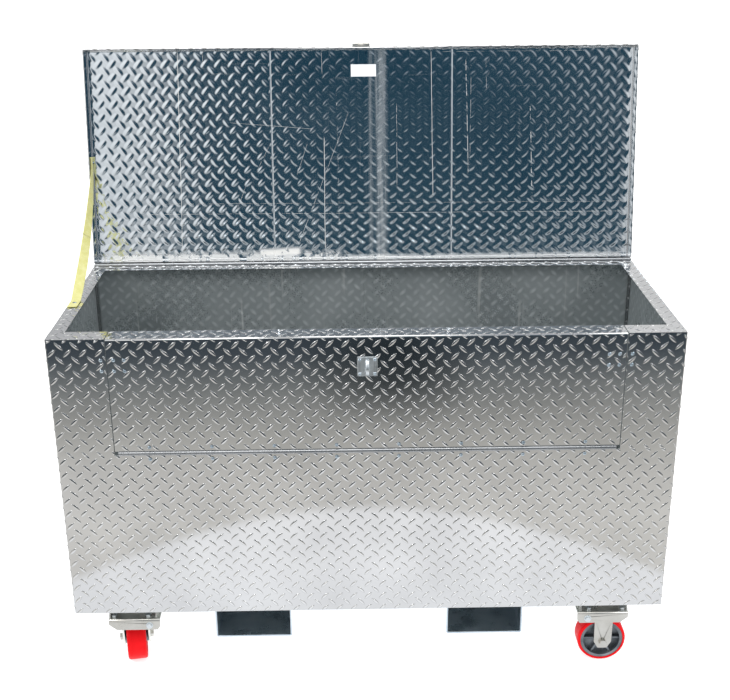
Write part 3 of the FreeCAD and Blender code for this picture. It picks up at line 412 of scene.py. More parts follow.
def lug_mesh(name, regions):
    """Raised lugs on a sheet. A region is a rectangle in the sheet's flat measure, a map from flat to space, a height,
    a test for places to leave bare, and where the pattern starts."""
    verts, faces, smooth, flats = [], [], [], []
    base = lens()
    count = 0
    c = math.sqrt(0.5)
    for (u0, u1, v0, v1), to_space, height, skip, (pu, pv) in regions:
        pts, spans = [], []
        for i in range(int(math.floor((u0 - pu) / PITCH_U)) - 1, int(math.ceil((u1 - pu) / PITCH_U)) + 2):
            for j in range(int(math.floor((v0 - pv) / PITCH_V)) - 1, int(math.ceil((v1 - pv) / PITCH_V)) + 2):
                for half, lean in ((0.0, 1.0), (0.5, -1.0)):
                    cu, cv = pu + (i + half) * PITCH_U, pv + (j + half) * PITCH_V
                    if not (u0 - LONG < cu < u1 + LONG and v0 - LONG < cv < v1 + LONG) or (skip and skip(cu, cv)):
                        continue
                    d, e = np.array([c, c * lean]), np.array([-c * lean, c])
                    rim = np.array([cu, cv]) + base[:, :1] * LONG * d + base[:, 1:] * WIDE * e
                    if rim[:, 0].min() > u0 and rim[:, 0].max() < u1 and rim[:, 1].min() > v0 and rim[:, 1].max() < v1:
                        rings = [np.array([cu, cv]) + base[:, :1] * LONG * k * d + base[:, 1:] * WIDE * w * e for k, w, _ in RINGS]
                    else:
                        cut = clip_rect(rim.tolist(), u0, u1, v0, v1)
                        if len(cut) < 3:
                            continue
                        cut = np.array(cut)
                        mid = cut.mean(0)
                        area = 0.5 * abs(np.dot(cut[:, 0], np.roll(cut[:, 1], 1)) - np.dot(cut[:, 1], np.roll(cut[:, 0], 1)))
                        if area < 6e-6:
                            continue
                        along, across = (cut - mid) @ d, (cut - mid) @ e
                        rings = [mid + along[:, None] * k * d + across[:, None] * w * e for k, w, _ in RINGS]
                    n = len(rings[0])
                    spans.append(n)
                    for ring, (_, _, hh) in zip(rings, RINGS):
                        pts.append(np.column_stack([ring, np.full(n, hh * height if hh > 0 else hh * MM)]))
        if not pts:
            continue
        flat = np.concatenate(pts)
        verts.append(to_space(flat[:, 0], flat[:, 1], flat[:, 2]))
        flats.append(flat)
        for n in spans:
            for r in range(len(RINGS) - 1):
                for k in range(n):
                    k2 = (k + 1) % n
                    faces.append((count + r * n + k, count + r * n + k2, count + (r + 1) * n + k2, count + (r + 1) * n + k))
                    smooth.append(True)
            top = count + (len(RINGS) - 1) * n
            faces.append(tuple(top + k for k in range(n)))
            smooth.append(True)
            faces.append(tuple(count + n - 1 - k for k in range(n)))
            smooth.append(False)
            count += len(RINGS) * n
    me = bpy.data.meshes.new(name)
    me.from_pydata(np.concatenate(verts).tolist(), [], faces)
    me.polygons.foreach_set("use_smooth", smooth)
    at = me.attributes.new("flat", "FLOAT_VECTOR", "POINT")
    at.data.foreach_set("vector", np.concatenate(flats).ravel())
    me.update()
    return me


def flat_map(origin, u_dir, v_dir, matrix=None):
    o, u, v = (np.array(x, float) for x in (origin, u_dir, v_dir))
    n = np.cross(u, v)

    def go(a, b, h):
        p = o + a[:, None] * u + b[:, None] * v + h[:, None] * n
        if matrix is not None:
            m = np.array(matrix)
            p = p @ m[:3, :3].T + m[:3, 3]
        return p
    return go


def wrap_map(y_face, side):
    """Front or back wall, following the bend at each end into its return. side is -1 in front, +1 behind."""
    radius = R_OUT - LUG
    arc = radius * math.pi / 2

    def go(a, b, h):
        s = np.where(a < 0, -1.0, 1.0)
        d = np.abs(a) - (HW - R_OUT)
        ang = np.clip(d / radius, 0, math.pi / 2)
        rr = radius + h
        x = np.where(d <= 0, a, s * (HW - R_OUT + rr * np.sin(ang)))
        y = y_face - side * (R_OUT - rr * np.cos(ang) + np.clip(d - arc, 0, None))
        return np.column_stack([x, y, b])
    return go, HW - R_OUT + arc + 15.0 * MM


def mirrored(go):
    """The same map seen from behind, so that the lugs' faces still point outwards."""
    def back(a, b, h):
        return go(-a, b, h)
    return back


def dented_sheet(name, rect, to_space, height, phase, bare=None, step=2.4 * MM, pitch=(PITCH_U, PITCH_V), half_size=(17.2 * MM, 7.2 * MM), goes_on=(0, 0)):
    """The inside of a rolled sheet: a thin closed skin on which each lug shows as a low, soft swelling.
    goes_on tells at which of its two ends the skin runs on level into the next one."""
    u0, u1, v0, v1 = rect
    nu, nv = int(round((u1 - u0) / step)) + 1, int(round((v1 - v0) / step)) + 1
    U, V = np.meshgrid(np.linspace(u0, u1, nu), np.linspace(v0, v1, nv), indexing="ij")
    c = math.sqrt(0.5)
    h = np.zeros_like(U)
    for half, lean in ((0.0, 1.0), (0.5, -1.0)):
        du = (U - phase[0] - half * pitch[0] + pitch[0] / 2) % pitch[0] - pitch[0] / 2
        dv = (V - phase[1] - half * pitch[1] + pitch[1] / 2) % pitch[1] - pitch[1] / 2
        a, b = (du + lean * dv) * c, (-lean * du + dv) * c
        r2 = (a / half_size[0]) ** 2 + (b / half_size[1]) ** 2
        h = np.maximum(h, np.clip(1 - r2, 0, None) ** 1.4)
    edge = np.minimum.reduce([U - u0 + goes_on[0], u1 - U + goes_on[1], V - v0, v1 - V])
    h = h * height * (1 - bare(U, V) if bare else 1.0) + 0.10 * MM
    h = np.where(edge < 1e-9, 0.0, h)
    top = to_space(U.ravel(), V.ravel(), h.ravel())
    ring = [i * nv for i in range(nu)] + [(nu - 1) * nv + j for j in range(1, nv)] + [i * nv + nv - 1 for i in range(nu - 2, -1, -1)] + list(range(nv - 2, 0, -1))
    low = to_space(U.ravel()[ring], V.ravel()[ring], np.full(len(ring), -0.3 * MM))
    n_top = len(top)
    faces = [(i * nv + j, (i + 1) * nv + j, (i + 1) * nv + j + 1, i * nv + j + 1) for i in range(nu - 1) for j in range(nv - 1)]
    m = len(ring)
    faces += [(ring[(k + 1) % m], ring[k], n_top + k, n_top + (k + 1) % m) for k in range(m)]
    smooth = [True] * ((nu - 1) * (nv - 1)) + [False] * m
    # flat back, as strips between the two long runs of the ring
    a_run = [n_top + i for i in range(nu)]
    b_run = [n_top + nu + nv - 2 + k for k in range(nu)]
    b_run = list(reversed(b_run))
    right_run = [n_top + nu - 1 + j for j in range(nv)]
    left_run = [n_top] + [n_top + m - j for j in range(1, nv)]
    for i in range(1, nu - 2):
        faces.append((a_run[i + 1], a_run[i], b_run[i], b_run[i + 1]))
        smooth.append(False)
    faces.append(tuple([a_run[1]] + left_run + [b_run[1]]))
    faces.append(tuple([b_run[nu - 2]] + list(reversed(right_run)) + [a_run[nu - 2]]))
    smooth += [False, False]
    me = bpy.data.meshes.new(name)
    me.from_pydata(np.concatenate([top, low]).tolist(), [], faces)
    me.polygons.foreach_set("use_smooth", smooth)
    at = me.attributes.new("flat", "FLOAT_VECTOR", "POINT")
    f = np.zeros((n_top + m, 3))
    f[:n_top, 0], f[:n_top, 1], f[:n_top, 2] = U.ravel(), V.ravel(), h.ravel()
    f[n_top:, 0], f[n_top:, 1] = U.ravel()[ring], V.ravel()[ring]
    at.data.foreach_set("vector", f.ravel())
    me.update()
    return me


# ------------------------------------------------------------------ tread plate panels
def draw_in_front(y_face, side):
    def mover(p):
        x, y, z = p
        sx = 1.0 if x > 0 else -1.0
        dx, dy = x - sx * (HW - R_OUT), (y - (y_face - side * R_OUT)) * side
        if dx * sx > -1e-7 and dy > -1e-7 and near(math.hypot(dx, dy), R_OUT, 0.1 * MM):
            k = (R_OUT - LUG) / R_OUT
            x, y = sx * (HW - R_OUT) + dx * k, y_face - side * R_OUT + side * dy * k
        elif near(y, y_face):
            y = y_face - side * LUG
        elif near(abs(x), HW):
            x = sx * (HW - LUG)
        if near(z, RIM):
            z = RIM - LUG
        return Vector((x, y, z))
    return mover


def on_rim(y_face, side):
    y, z = y_face - side * LUG, RIM - LUG
    return lambda a, b: near(a.z, z) and near(b.z, z) and near(a.y, y) and near(b.y, y)


def inward(side):
    """Tells the upright faces of the front or back panel that look into the box, its bent returns among them."""
    def test(f):
        c = f.calc_center_median()
        return abs(f.normal.z) < 0.3 and c.z < RIM - T and (f.normal.y * side < -0.3 or f.normal.x * c.x < -0.3 * abs(c.x))
    return test


wrap_f, reach = wrap_map(FY, -1)
wrap_b, _ = wrap_map(BY, 1)
sheet_from("front_panel", "front_panel_sheet", "box", tread_mat, draw_in_front(FY, -1), on_rim(FY, -1), radius=4.0 * MM, inner=inward(-1))
sheet_from("gate_panel", "gate_sheet", "gate", tread_mat,
           lambda p: Vector((p.x, FY + LUG if near(p.y, FY) else p.y, RIM - LUG if near(p.z, RIM) else p.z)), on_rim(FY, -1), radius=4.0 * MM,
           inner=lambda f: f.normal.y > 0.9 and near(f.calc_center_median().y, FY + T))
sheet_from("back_panel", "back_panel_sheet", "box", tread_mat, draw_in_front(BY, 1), on_rim(BY, 1), inner=inward(1))


def draw_in_side(p):
    return Vector(((HW - LUG) * (1 if p.x > 0 else -1) if near(abs(p.x), HW) else p.x, p.y, RIM - LUG if near(p.z, RIM) else p.z))


def on_side_rim(a, b):
    return all(near(abs(p.x), HW - LUG) and near(p.z, RIM - LUG) for p in (a, b))


sheet_from("left_side_panel", "left_side_sheet", "box", tread_mat, draw_in_side, on_side_rim, inner=lambda f: f.normal.x > 0.9 and f.calc_center_median().x < -HW + T + MM)
sheet_from("right_side_panel", "right_side_sheet", "box", tread_mat, draw_in_side, on_side_rim, inner=lambda f: f.normal.x < -0.9 and f.calc_center_median().x > HW - T - MM)
sheet_from("floor_panel", "floor_sheet", "box", inner_mat, lambda p: Vector((p.x, p.y, BOT + LUG if near(p.z, BOT) else p.z)), lambda a, b: False)


def draw_in_lid(p):
    y = LF + LUG if near(p.y, LF) else LR - LUG if near(p.y, LR) else p.y
    return Vector(((LX - LUG) * (1 if p.x > 0 else -1) if near(abs(p.x), LX) else p.x, y, L_TOP - LUG if near(p.z, L_TOP) else p.z))


def on_lid_bend(a, b):
    flat = [(near(abs(p.x), LX - LUG), near(p.y, LF + LUG), near(p.y, LR - LUG), near(p.z, L_TOP - LUG)) for p in (a, b)]
    return sum(i and j for i, j in zip(*flat)) >= 2


sheet_from("lid_panel", "lid_sheet", "lid", tread_mat, draw_in_lid, on_lid_bend, shut_frame=True)

EDGE = 3.6 * MM
top_z = RIM - EDGE
fz = RIM - LUG
X, Yd, Z = (1, 0, 0), (0, 1, 0), (0, 0, 1)
nX, nY, nZ = (-1, 0, 0), (0, -1, 0), (0, 0, -1)
P_FRONT, P_GATE, P0 = (-1.95 * MM, 410.1 * MM), (22.6 * MM, 784.3 * MM), (0.0, 0.0)
place("front_panel_lugs", lug_mesh("front_panel_lugs", [
    ((-reach, reach, BOT, NOTCH_Z), wrap_f, LUG, None, P_FRONT),
    ((-reach, -NOTCH_X, NOTCH_Z, top_z), wrap_f, LUG, None, P_FRONT),
    ((NOTCH_X, reach, NOTCH_Z, top_z), wrap_f, LUG, None, P_FRONT),
    ((-HW + EDGE, -NOTCH_X, RIM + EDGE, RIM + FLANGE_F), flat_map((0, FY - RIM, fz), X, Yd), LUG, None, P_FRONT),
    ((NOTCH_X, HW - EDGE, RIM + EDGE, RIM + FLANGE_F), flat_map((0, FY - RIM, fz), X, Yd), LUG, None, P_FRONT),
]), "box", lug_mat)
place("gate_lugs", lug_mesh("gate_lugs", [
    ((-GX, GX, G_LOW, top_z), wrap_f, LUG, None, P_GATE),
    ((-GX, GX, RIM + EDGE, RIM + FLANGE_F), flat_map((0, FY - RIM, fz), X, Yd), LUG, None, P_GATE),
]), "gate", lug_mat)
place("back_panel_lugs", lug_mesh("back_panel_lugs", [
    ((-reach, reach, BOT, top_z), mirrored(wrap_b), LUG, None, P0),
    ((-HW + EDGE, HW - EDGE, -FLANGE, -EDGE), flat_map((0, BY, fz), X, Yd), LUG, None, P0),
]), "box", lug_mat)
ys0, ys1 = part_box("left_side_panel")[0].y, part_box("left_side_panel")[1].y
place("left_side_lugs", lug_mesh("left_side_lugs", [
    ((-ys1, -ys0, BOT, top_z), flat_map((-HW + LUG, 0, 0), nY, Z), LUG, None, P0),
    ((-HW + EDGE, -HW + FLANGE, FY + FLANGE_F, BY - FLANGE), flat_map((0, 0, fz), X, Yd), LUG, None, P0),
]), "box", lug_mat)
place("right_side_lugs", lug_mesh("right_side_lugs", [
    ((ys0, ys1, BOT, top_z), flat_map((HW - LUG, 0, 0), Yd, Z), LUG, None, P0),
    ((HW - FLANGE, HW - EDGE, FY + FLANGE_F, BY - FLANGE), flat_map((0, 0, fz), X, Yd), LUG, None, P0),
]), "box", lug_mat)
PX0, PX1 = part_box("left_fork_pocket")[0].x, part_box("left_fork_pocket")[1].x
f_lo, f_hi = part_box("floor_panel")
place("floor_lugs", lug_mesh("floor_lugs", [((a, b, -f_hi.y, -f_lo.y), flat_map((0, 0, BOT + LUG), X, nY), LUG, None, P0)
                                            for a, b in ((f_lo.x, PX0), (PX1, -PX1), (-PX0, f_hi.x))]), "box", lug_mat)
place("lid_lugs", lug_mesh("lid_lugs", [
    ((-LX + EDGE, LX - EDGE, LF + EDGE, LR - EDGE), flat_map((0, 0, L_TOP - LUG), X, Yd, to_open), LUG, None, P0),
    ((-LX + EDGE, LX - EDGE, L_LOW, L_TOP - EDGE), flat_map((0, LF + LUG, 0), X, Z, to_open), LUG, None, P0),
    ((-LX + EDGE, LX - EDGE, L_LOW, L_TOP - EDGE), flat_map((0, LR - LUG, 0), nX, Z, to_open), LUG, None, P0),
    ((-LR + EDGE, -LF - EDGE, L_LOW, L_TOP - EDGE), flat_map((-LX + LUG, 0, 0), nY, Z, to_open), LUG, None, P0),
    ((LF + EDGE, LR - EDGE, L_LOW, L_TOP - EDGE), flat_map((LX - LUG, 0, 0), Yd, Z, to_open), LUG, None, P0),
]), "lid", lug_mat)

# The same lugs show on the inside of the sheet as low, soft swellings.
label_shut = [to_shut @ v.co for v in nodes["blank_label"].data.vertices]
lab = (min(p.x for p in label_shut), max(p.x for p in label_shut), AX.y - max(p.y for p in label_shut), AX.y - min(p.y for p in label_shut))
hasp_shut = [to_shut @ v.co for v in nodes["hasp_rivets"].data.vertices]
has = (min(p.x for p in hasp_shut), max(p.x for p in hasp_shut), AX.y - max(p.y for p in hasp_shut), AX.y - min(p.y for p in hasp_shut))


def off_label(u, v):
    out = np.zeros_like(u)
    for a, b, c, d in (lab, has):
        gap = np.maximum.reduce([a - u, u - b, c - v, v - d])
        out = np.maximum(out, np.clip(1 - gap / (4 * MM), 0, 1))
    return out


S_IN, S_OUT = AX.y - LR + T + 0.6 * MM, AX.y - LF - T - 0.6 * MM
lid_map = flat_map((0, AX.y, L_UNDER), X, nY, to_open)
cuts = np.linspace(-LX + T + 0.6 * MM, LX - T - 0.6 * MM, 4)
for k in range(3):
    place("lid_inside_%d" % (k + 1), dented_sheet("lid_inside_%d" % (k + 1), (cuts[k], cuts[k + 1], S_IN, S_OUT), lid_map, 0.60 * MM,
                                                   (13.1 * MM, 7.46 * MM), off_label, pitch=(37.12 * MM, 36.37 * MM), goes_on=(k > 0, k < 2)), "lid", lid_in_mat)
GHOST = 0.14 * MM
SOFT_H = 0.80 * MM
low, high = BOT + T, RIM - T
in_lo, in_hi = low + 1.5 * MM, high - 0.6 * MM
halves = (-HW + T + 5 * MM, 0.0, HW - T - 5 * MM)
for k in range(2):
    place("back_inside_%d" % (k + 1), dented_sheet("back_inside_%d" % (k + 1), (halves[k], halves[k + 1], in_lo, in_hi), flat_map((0, BY - T, 0), X, Z), SOFT_H, P0, step=3.2 * MM, goes_on=(k > 0, k < 1)),
          "box", inner_mat)
place("left_inside", dented_sheet("left_inside", (FY + 21 * MM, BY - 21 * MM, in_lo, in_hi), flat_map((-HW + T, 0, 0), Yd, Z), SOFT_H, P0, step=3.2 * MM), "box", inner_mat)
place("right_inside", dented_sheet("right_inside", (-BY + 21 * MM, -FY - 21 * MM, in_lo, in_hi), flat_map((HW - T, 0, 0), nY, Z), SOFT_H, P0, step=3.2 * MM), "box", inner_mat)
place("front_inside_marks", lug_mesh("front_inside_marks", [
    ((-HW + T + 4 * MM, HW - T - 4 * MM, low, NOTCH_Z - 26 * MM), flat_map((0, FY + T, 0), nX, Z), GHOST, None, P0)]), "box", inner_mat)
place("floor_inside_marks", lug_mesh("floor_inside_marks", [
    ((f_lo.x, f_hi.x, f_lo.y, f_hi.y), flat_map((0, 0, BOT + T), X, Yd), GHOST, None, P0)]), "box", inner_mat)
place("gate_inside_marks", lug_mesh("gate_inside_marks", [
    ((-GX + 60 * MM, GX - 60 * MM, G_LOW + 26 * MM, RIM - T), flat_map((0, FY + T, 0), nX, Z), GHOST, None, P0)]), "gate", inner_mat)

# ------------------------------------------------------------------ rounded edges on the small steel pieces
ENDS = [(a, b) for a in ("front", "back") for b in ("left", "right")]
SOFT = [("left_fork_pocket", 0.6), ("right_fork_pocket", 0.6), ("padlock_staple", 0.7), ("hasp_leaf", 0.5), ("hasp_base", 0.5),
        ("left_bolt_housing", 0.6), ("right_bolt_housing", 0.6), ("left_bolt_keeper", 0.6), ("right_bolt_keeper", 0.6), ("bracket_face_bolts", 0.5), ("caster_plate_bolts", 0.5)]
SOFT += [("%s_%s_caster_bracket" % e, 0.8) for e in ENDS] + [("%s_%s_wheel_core" % e, 0.8) for e in ENDS]
SOFT += [("%s_left_swivel_fork" % a, 1.0) for a in ("front", "back")] + [("%s_right_rigid_fork" % a, 1.0) for a in ("front", "back")]
SOFT += [("%s_left_swivel_plate" % a, 0.8) for a in ("front", "back")] + [("%s_left_axle" % a, 0.5) for a in ("front", "back")]
SOFT += [("rigid_caster_axles", 0.5), ("swivel_kingpins", 0.5)]
for name, width in SOFT:
    w = nodes[name].modifiers.new("weld", "WELD")
    w.merge_threshold = 1e-6
    b = nodes[name].modifiers.new("edges", "BEVEL")
    b.width = width * MM
    b.segments = 2
    b.limit_method = "ANGLE"
    b.angle_limit = math.radians(40)
    b.harden_normals = True

# ------------------------------------------------------------------ lid strap
strap_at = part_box("strap_lower_rivet")
strap_c = (strap_at[0] + strap_at[1]) / 2
lip_rivet = np.array([v.co for v in nodes["strap_upper_rivet"].data.vertices]).mean(0)
SW, ST = 25.4 * MM, 1.5 * MM
A = Vector((strap_c.x, strap_c.y, RIM + 0.3 * MM + ST / 2))


def lid_point(x, y, z):
    return to_open @ Vector((x, y, z))


riv = to_shut @ Vector(lip_rivet)
in_x = -LX + T
B = lid_point(in_x + 1.3 * MM, riv.y, L_UNDER - 14 * MM)
up_dir = (to_open.to_3x3() @ Vector((0, -1, 0))).normalized()      # along the lid towards its free edge
n_dir = (to_open.to_3x3() @ Vector((0, 0, 1))).normalized()        # from the lip's edge to the lid's skin


def hermite(p0, m0, p1, m1, t):
    h = (2 * t ** 3 - 3 * t ** 2 + 1, t ** 3 - 2 * t ** 2 + t, -2 * t ** 3 + 3 * t ** 2, t ** 3 - t ** 2)
    return p0 * h[0] + m0 * h[1] + p1 * h[2] + m1 * h[3]


def strap_path():
    """Centre line and width direction: flat on the flange, up and back to the lip, turning on edge on the way."""
    c, w = [], []
    flat_end = A + Vector((0, 16 * MM, 0))
    for k in range(7):
        c.append(A + Vector((0, -33 * MM + 49 * MM * k / 6, 0)))
        w.append(Vector((1, 0, 0)))
    top_start = B - up_dir * 20 * MM
    chord = top_start - flat_end
    d = chord.normalized()
    side = Vector((1, 0, 0))
    other = d.cross(side).normalized()
    steps = 64
    for k in range(1, steps + 1):
        t = k / steps
        p = hermite(flat_end, (Vector((0, 1, 0)) * 0.25 + d * 0.75) * chord.length, top_start, (d * 0.8 + up_dir * 0.2) * chord.length, t)
        p.x = flat_end.x + chord.x * t * t
        c.append(p)
        turn = 0.5 * math.pi * t
        w.append((side * math.cos(turn) + other * math.sin(turn)).normalized())
    for k in range(1, 6):
        c.append(top_start + up_dir * (36 * MM) * k / 5)
        w.append(-n_dir)
    for k in range(1, len(w)):
        if w[k].dot(w[k - 1]) < 0:
            w[k] = -w[k]
    return c, w


def ribbon(name, cs, ws, start_at):
    """A closed webbing strip with softened edges along a centre line."""
    across = [(-0.5, 0.0), (-0.485, 0.42), (-0.44, 0.5), (-0.22, 0.44), (0.0, 0.5), (0.22, 0.44), (0.44, 0.5), (0.485, 0.42), (0.5, 0.0)]
    ring = across + [(a, -b) for a, b in reversed(across[1:-1])]
    verts, weave, faces = [], [], []
    run = start_at
    for k, (c, w) in enumerate(zip(cs, ws)):
        t = (cs[min(k + 1, len(cs) - 1)] - cs[max(k - 1, 0)]).normalized()
        w = (w - t * w.dot(t)).normalized()
        n = t.cross(w).normalized()
        if k:
            run += (c - cs[k - 1]).length
        for a, b in ring:
            verts.append(c + w * (a * SW) + n * (b * ST))
            weave.append((a * SW, run, 0.0))
    m = len(ring)
    for k in range(len(cs) - 1):
        for i in range(m):
            j = (i + 1) % m
            faces.append((k * m + j, k * m + i, (k + 1) * m + i, (k + 1) * m + j))
    faces.append(tuple(range(m)))
    faces.append(tuple((len(cs) - 1) * m + i for i in reversed(range(m))))
    me = bpy.data.meshes.new(name)
    me.from_pydata([tuple(v) for v in verts], [], faces)
    at = me.attributes.new("weave", "FLOAT_VECTOR", "POINT")
    at.data.foreach_set("vector", [x for v in weave for x in v])
    for p in me.polygons:
        p.use_smooth = len(p.vertices) == 4
    me.update()
    bm = bmesh.new()
    bm.from_mesh(me)
    bmesh.ops.recalc_face_normals(bm, faces=bm.faces)
    bm.to_mesh(me)
    bm.free()
    return me, sum((cs[k + 1] - cs[k]).length for k in range(len(cs) - 1))


centre, width = strap_path()
half = len(centre) // 2
low_me, low_len = ribbon("strap_lower", centre[:half + 1], width[:half + 1], 0.0)
up_me, up_len = ribbon("strap_upper", centre[half:], width[half:], low_len)
strap_low = place("strap_lower", low_me, "box", strap_mat)
strap_up = place("strap_upper", up_me, "lid", strap_mat)
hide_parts("lid_strap")
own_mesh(strap_low)
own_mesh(strap_up)


# ------------------------------------------------------------------ stage
def stage_mesh(name, verts, faces, mat, glossy_only=False):
    me = bpy.data.meshes.new(name)
    me.from_pydata(verts, [], faces)
    o = bpy.data.objects.new(name, me)
    scene.collection.objects.link(o)
    me.materials.append(mat)
    if glossy_only:
        o.visible_camera = False
        o.visible_diffuse = False
        o.visible_shadow = False
        o.visible_transmission = False
        o.visible_volume_scatter = False
    return o


floor_mat, nt, bsdf = new_material("stage_floor")
nt.links.new(ramp(nt, noise(nt, 0.8), [(0.3, (0.90, 0.90, 0.90)), (0.7, (0.93, 0.93, 0.93))]), bsdf.inputs["Base Color"])
bsdf.inputs["Roughness"].default_value = 0.9
bsdf.inputs["Specular IOR Level"].default_value = 0.1
bsdf.inputs["Emission Color"].default_value = (1.0, 1.0, 1.0, 1.0)
bsdf.inputs["Emission Strength"].default_value = 0.60
stage_mesh("stage_floor", [(-30, -30, 0), (30, -30, 0), (30, 30, 0), (-30, 30, 0)], [(0, 1, 2, 3)], floor_mat).visible_glossy = False


def glow_material(name):
    m = bpy.data.materials.new(name)
    m.use_nodes = True
    m.cycles.emission_sampling = "NONE"
    nt = m.node_tree
    nt.nodes.clear()
    e = nt.nodes.new("ShaderNodeEmission")
    out = nt.nodes.new("ShaderNodeOutputMaterial")
    nt.links.new(e.outputs[0], out.inputs[0])
    e.inputs["Strength"].default_value = 1.0
    return m, nt, e


# what the bright plate mirrors below the horizon: a pale sweep near the box, then a grey floor that darkens away from it
card_mat, nt, em = glow_material("card_floor")
tc = add(nt, "ShaderNodeTexCoord")
sep = add(nt, "ShaderNodeSeparateXYZ")
nt.links.new(tc.outputs["Object"], sep.inputs[0])
away = calc(nt, "MULTIPLY", sep.outputs["Y"], -1.0)
tone = ramp(nt, span(nt, away, 0.0, 4.0, 0.0, 1.0), [
    (0.0, (0.70, 0.69, 0.66)), (0.20, (0.66, 0.65, 0.62)), (0.27, (0.58, 0.57, 0.545)), (0.34, (0.46, 0.455, 0.43)), (0.42, (0.30, 0.305, 0.295)),
    (0.50, (0.16, 0.175, 0.18)), (0.57, (0.065, 0.08, 0.095)), (0.66, (0.03, 0.042, 0.055)), (1.0, (0.035, 0.05, 0.065))])
px = calc(nt, "DIVIDE", calc(nt, "SUBTRACT", sep.outputs["X"], 0.13), 0.34)
py = calc(nt, "DIVIDE", calc(nt, "ADD", sep.outputs["Y"], 2.15), 0.55)
dist = calc(nt, "SQRT", calc(nt, "ADD", calc(nt, "MULTIPLY", px, px), calc(nt, "MULTIPLY", py, py)))
tone = mix_color(nt, span(nt, dist, 0.4, 1.25, 0.8, 0.0), tone, (0.012, 0.018, 0.022))
near_left = calc(nt, "MULTIPLY", span(nt, sep.outputs["X"], -1.15, -0.45, 0.30, 0.05), span(nt, away, 1.0, 1.6, 1.0, 0.0))
tone = mix_color(nt, near_left, tone, (0.95, 0.95, 0.95))
edge = calc(nt, "SUBTRACT", 0.885, calc(nt, "MULTIPLY", calc(nt, "MULTIPLY", sep.outputs["X"], sep.outputs["X"]), 0.54))
sweep = ramp(nt, span(nt, away, 0.0, 0.8, 0.0, 1.0), [(0.0, (0.85, 0.88, 0.92)), (0.3, (0.90, 0.92, 0.95)), (1.0, (0.95, 0.96, 0.98))])
tone = mix_color(nt, span(nt, calc(nt, "SUBTRACT", away, edge), -0.04, 0.02, 0.0, 1.0), sweep, tone)
nt.links.new(tone, em.inputs["Color"])
card = stage_mesh("card_floor", [(-12.0, -14.0, 0.0), (12.0, -14.0, 0.0), (12.0, 0.0, 0.0), (-12.0, 0.0, 0.0)], [(0, 1, 2, 3)], card_mat, True)
card.location = (0.0, FY, 0.004)

# the same beside and behind the box: pale close to it, darker farther off
round_mat, nt, em = glow_material("card_floor_round")
tc = add(nt, "ShaderNodeTexCoord")
sep = add(nt, "ShaderNodeSeparateXYZ")
nt.links.new(tc.outputs["Object"], sep.inputs[0])
beside = calc(nt, "MAXIMUM", calc(nt, "SUBTRACT", calc(nt, "ABSOLUTE", sep.outputs["X"]), HW), 0.0)
behind = calc(nt, "MAXIMUM", calc(nt, "SUBTRACT", sep.outputs["Y"], BY), 0.0)
gone = calc(nt, "SQRT", calc(nt, "ADD", calc(nt, "MULTIPLY", beside, beside), calc(nt, "MULTIPLY", behind, behind)))
nt.links.new(ramp(nt, span(nt, gone, 0.0, 6.0, 0.0, 1.0), [
    (0.0, (1.55, 1.62, 1.68)), (0.01, (0.82, 0.83, 0.85)), (0.09, (0.72, 0.73, 0.74)), (0.15, (0.52, 0.52, 0.51)), (0.24, (0.32, 0.325, 0.32)), (0.36, (0.13, 0.14, 0.15)),
    (0.55, (0.06, 0.075, 0.09)), (0.9, (0.10, 0.12, 0.14)), (1.0, (0.34, 0.35, 0.36))]), em.inputs["Color"])
stage_mesh("card_floor_round", [(-26, -26, 0.002), (26, -26, 0.002), (26, 26, 0.002), (-26, 26, 0.002)], [(0, 1, 2, 3)], round_mat, True)

# and above it: a dark room in front of the box with bright walls to the sides and a bright ceiling
dome_mat, nt, em = glow_material("card_room")
tc = add(nt, "ShaderNodeTexCoord")
nrm = add(nt, "ShaderNodeVectorMath", operation="NORMALIZE")
nt.links.new(tc.outputs["Object"], nrm.inputs[0])
sep = add(nt, "ShaderNodeSeparateXYZ")
nt.links.new(nrm.outputs["Vector"], sep.inputs[0])
elev = calc(nt, "DIVIDE", calc(nt, "ARCSINE", sep.outputs["Z"]), math.pi / 2)
az = calc(nt, "DIVIDE", calc(nt, "ARCTAN2", sep.outputs["X"], calc(nt, "MULTIPLY", sep.outputs["Y"], -1.0)), math.pi)
front = ramp(nt, elev, [(0.0, (0.40, 0.43, 0.45)), (0.028, (0.38, 0.41, 0.43)), (0.038, (0.06, 0.11, 0.145)), (0.050, (0.018, 0.056, 0.085)), (0.071, (0.040, 0.082, 0.112)),
                         (0.087, (0.018, 0.056, 0.086)), (0.103, (0.012, 0.044, 0.074)), (0.119, (0.056, 0.096, 0.126)), (0.134, (0.020, 0.058, 0.088)), (0.165, (0.016, 0.052, 0.082)),
                         (0.22, (0.06, 0.10, 0.135)), (0.28, (0.58, 0.62, 0.66)), (0.35, (0.62, 0.66, 0.69)), (0.40, (0.26, 0.28, 0.30)), (0.53, (0.20, 0.225, 0.25)), (0.64, (1.0, 1.0, 1.0)), (0.72, (1.9, 1.9, 1.9))])
sides = ramp(nt, elev, [(0.0, (0.72, 0.73, 0.74)), (0.25, (0.95, 0.96, 0.97)), (0.55, (0.62, 0.64, 0.66)), (0.8, (1.0, 1.0, 1.0))])
stripes = ramp(nt, span(nt, az, -1.0, 1.0, 0.0, 1.0), [(0.0, (0.75, 0.75, 0.75)), (0.10, (0.35, 0.36, 0.38)), (0.2, (0.9, 0.9, 0.9)), (0.27, (0.28, 0.30, 0.33)), (0.33, (1.0, 1.0, 1.0)),
                                                       (0.46, (1.05, 1.05, 1.05)), (0.60, (0.55, 0.58, 0.62)), (0.68, (0.85, 0.86, 0.88)), (0.74, (0.30, 0.32, 0.35)), (0.84, (0.8, 0.8, 0.8)), (1.0, (0.75, 0.75, 0.75))])
sides = mix_color(nt, 1.0, sides, stripes, "MULTIPLY")
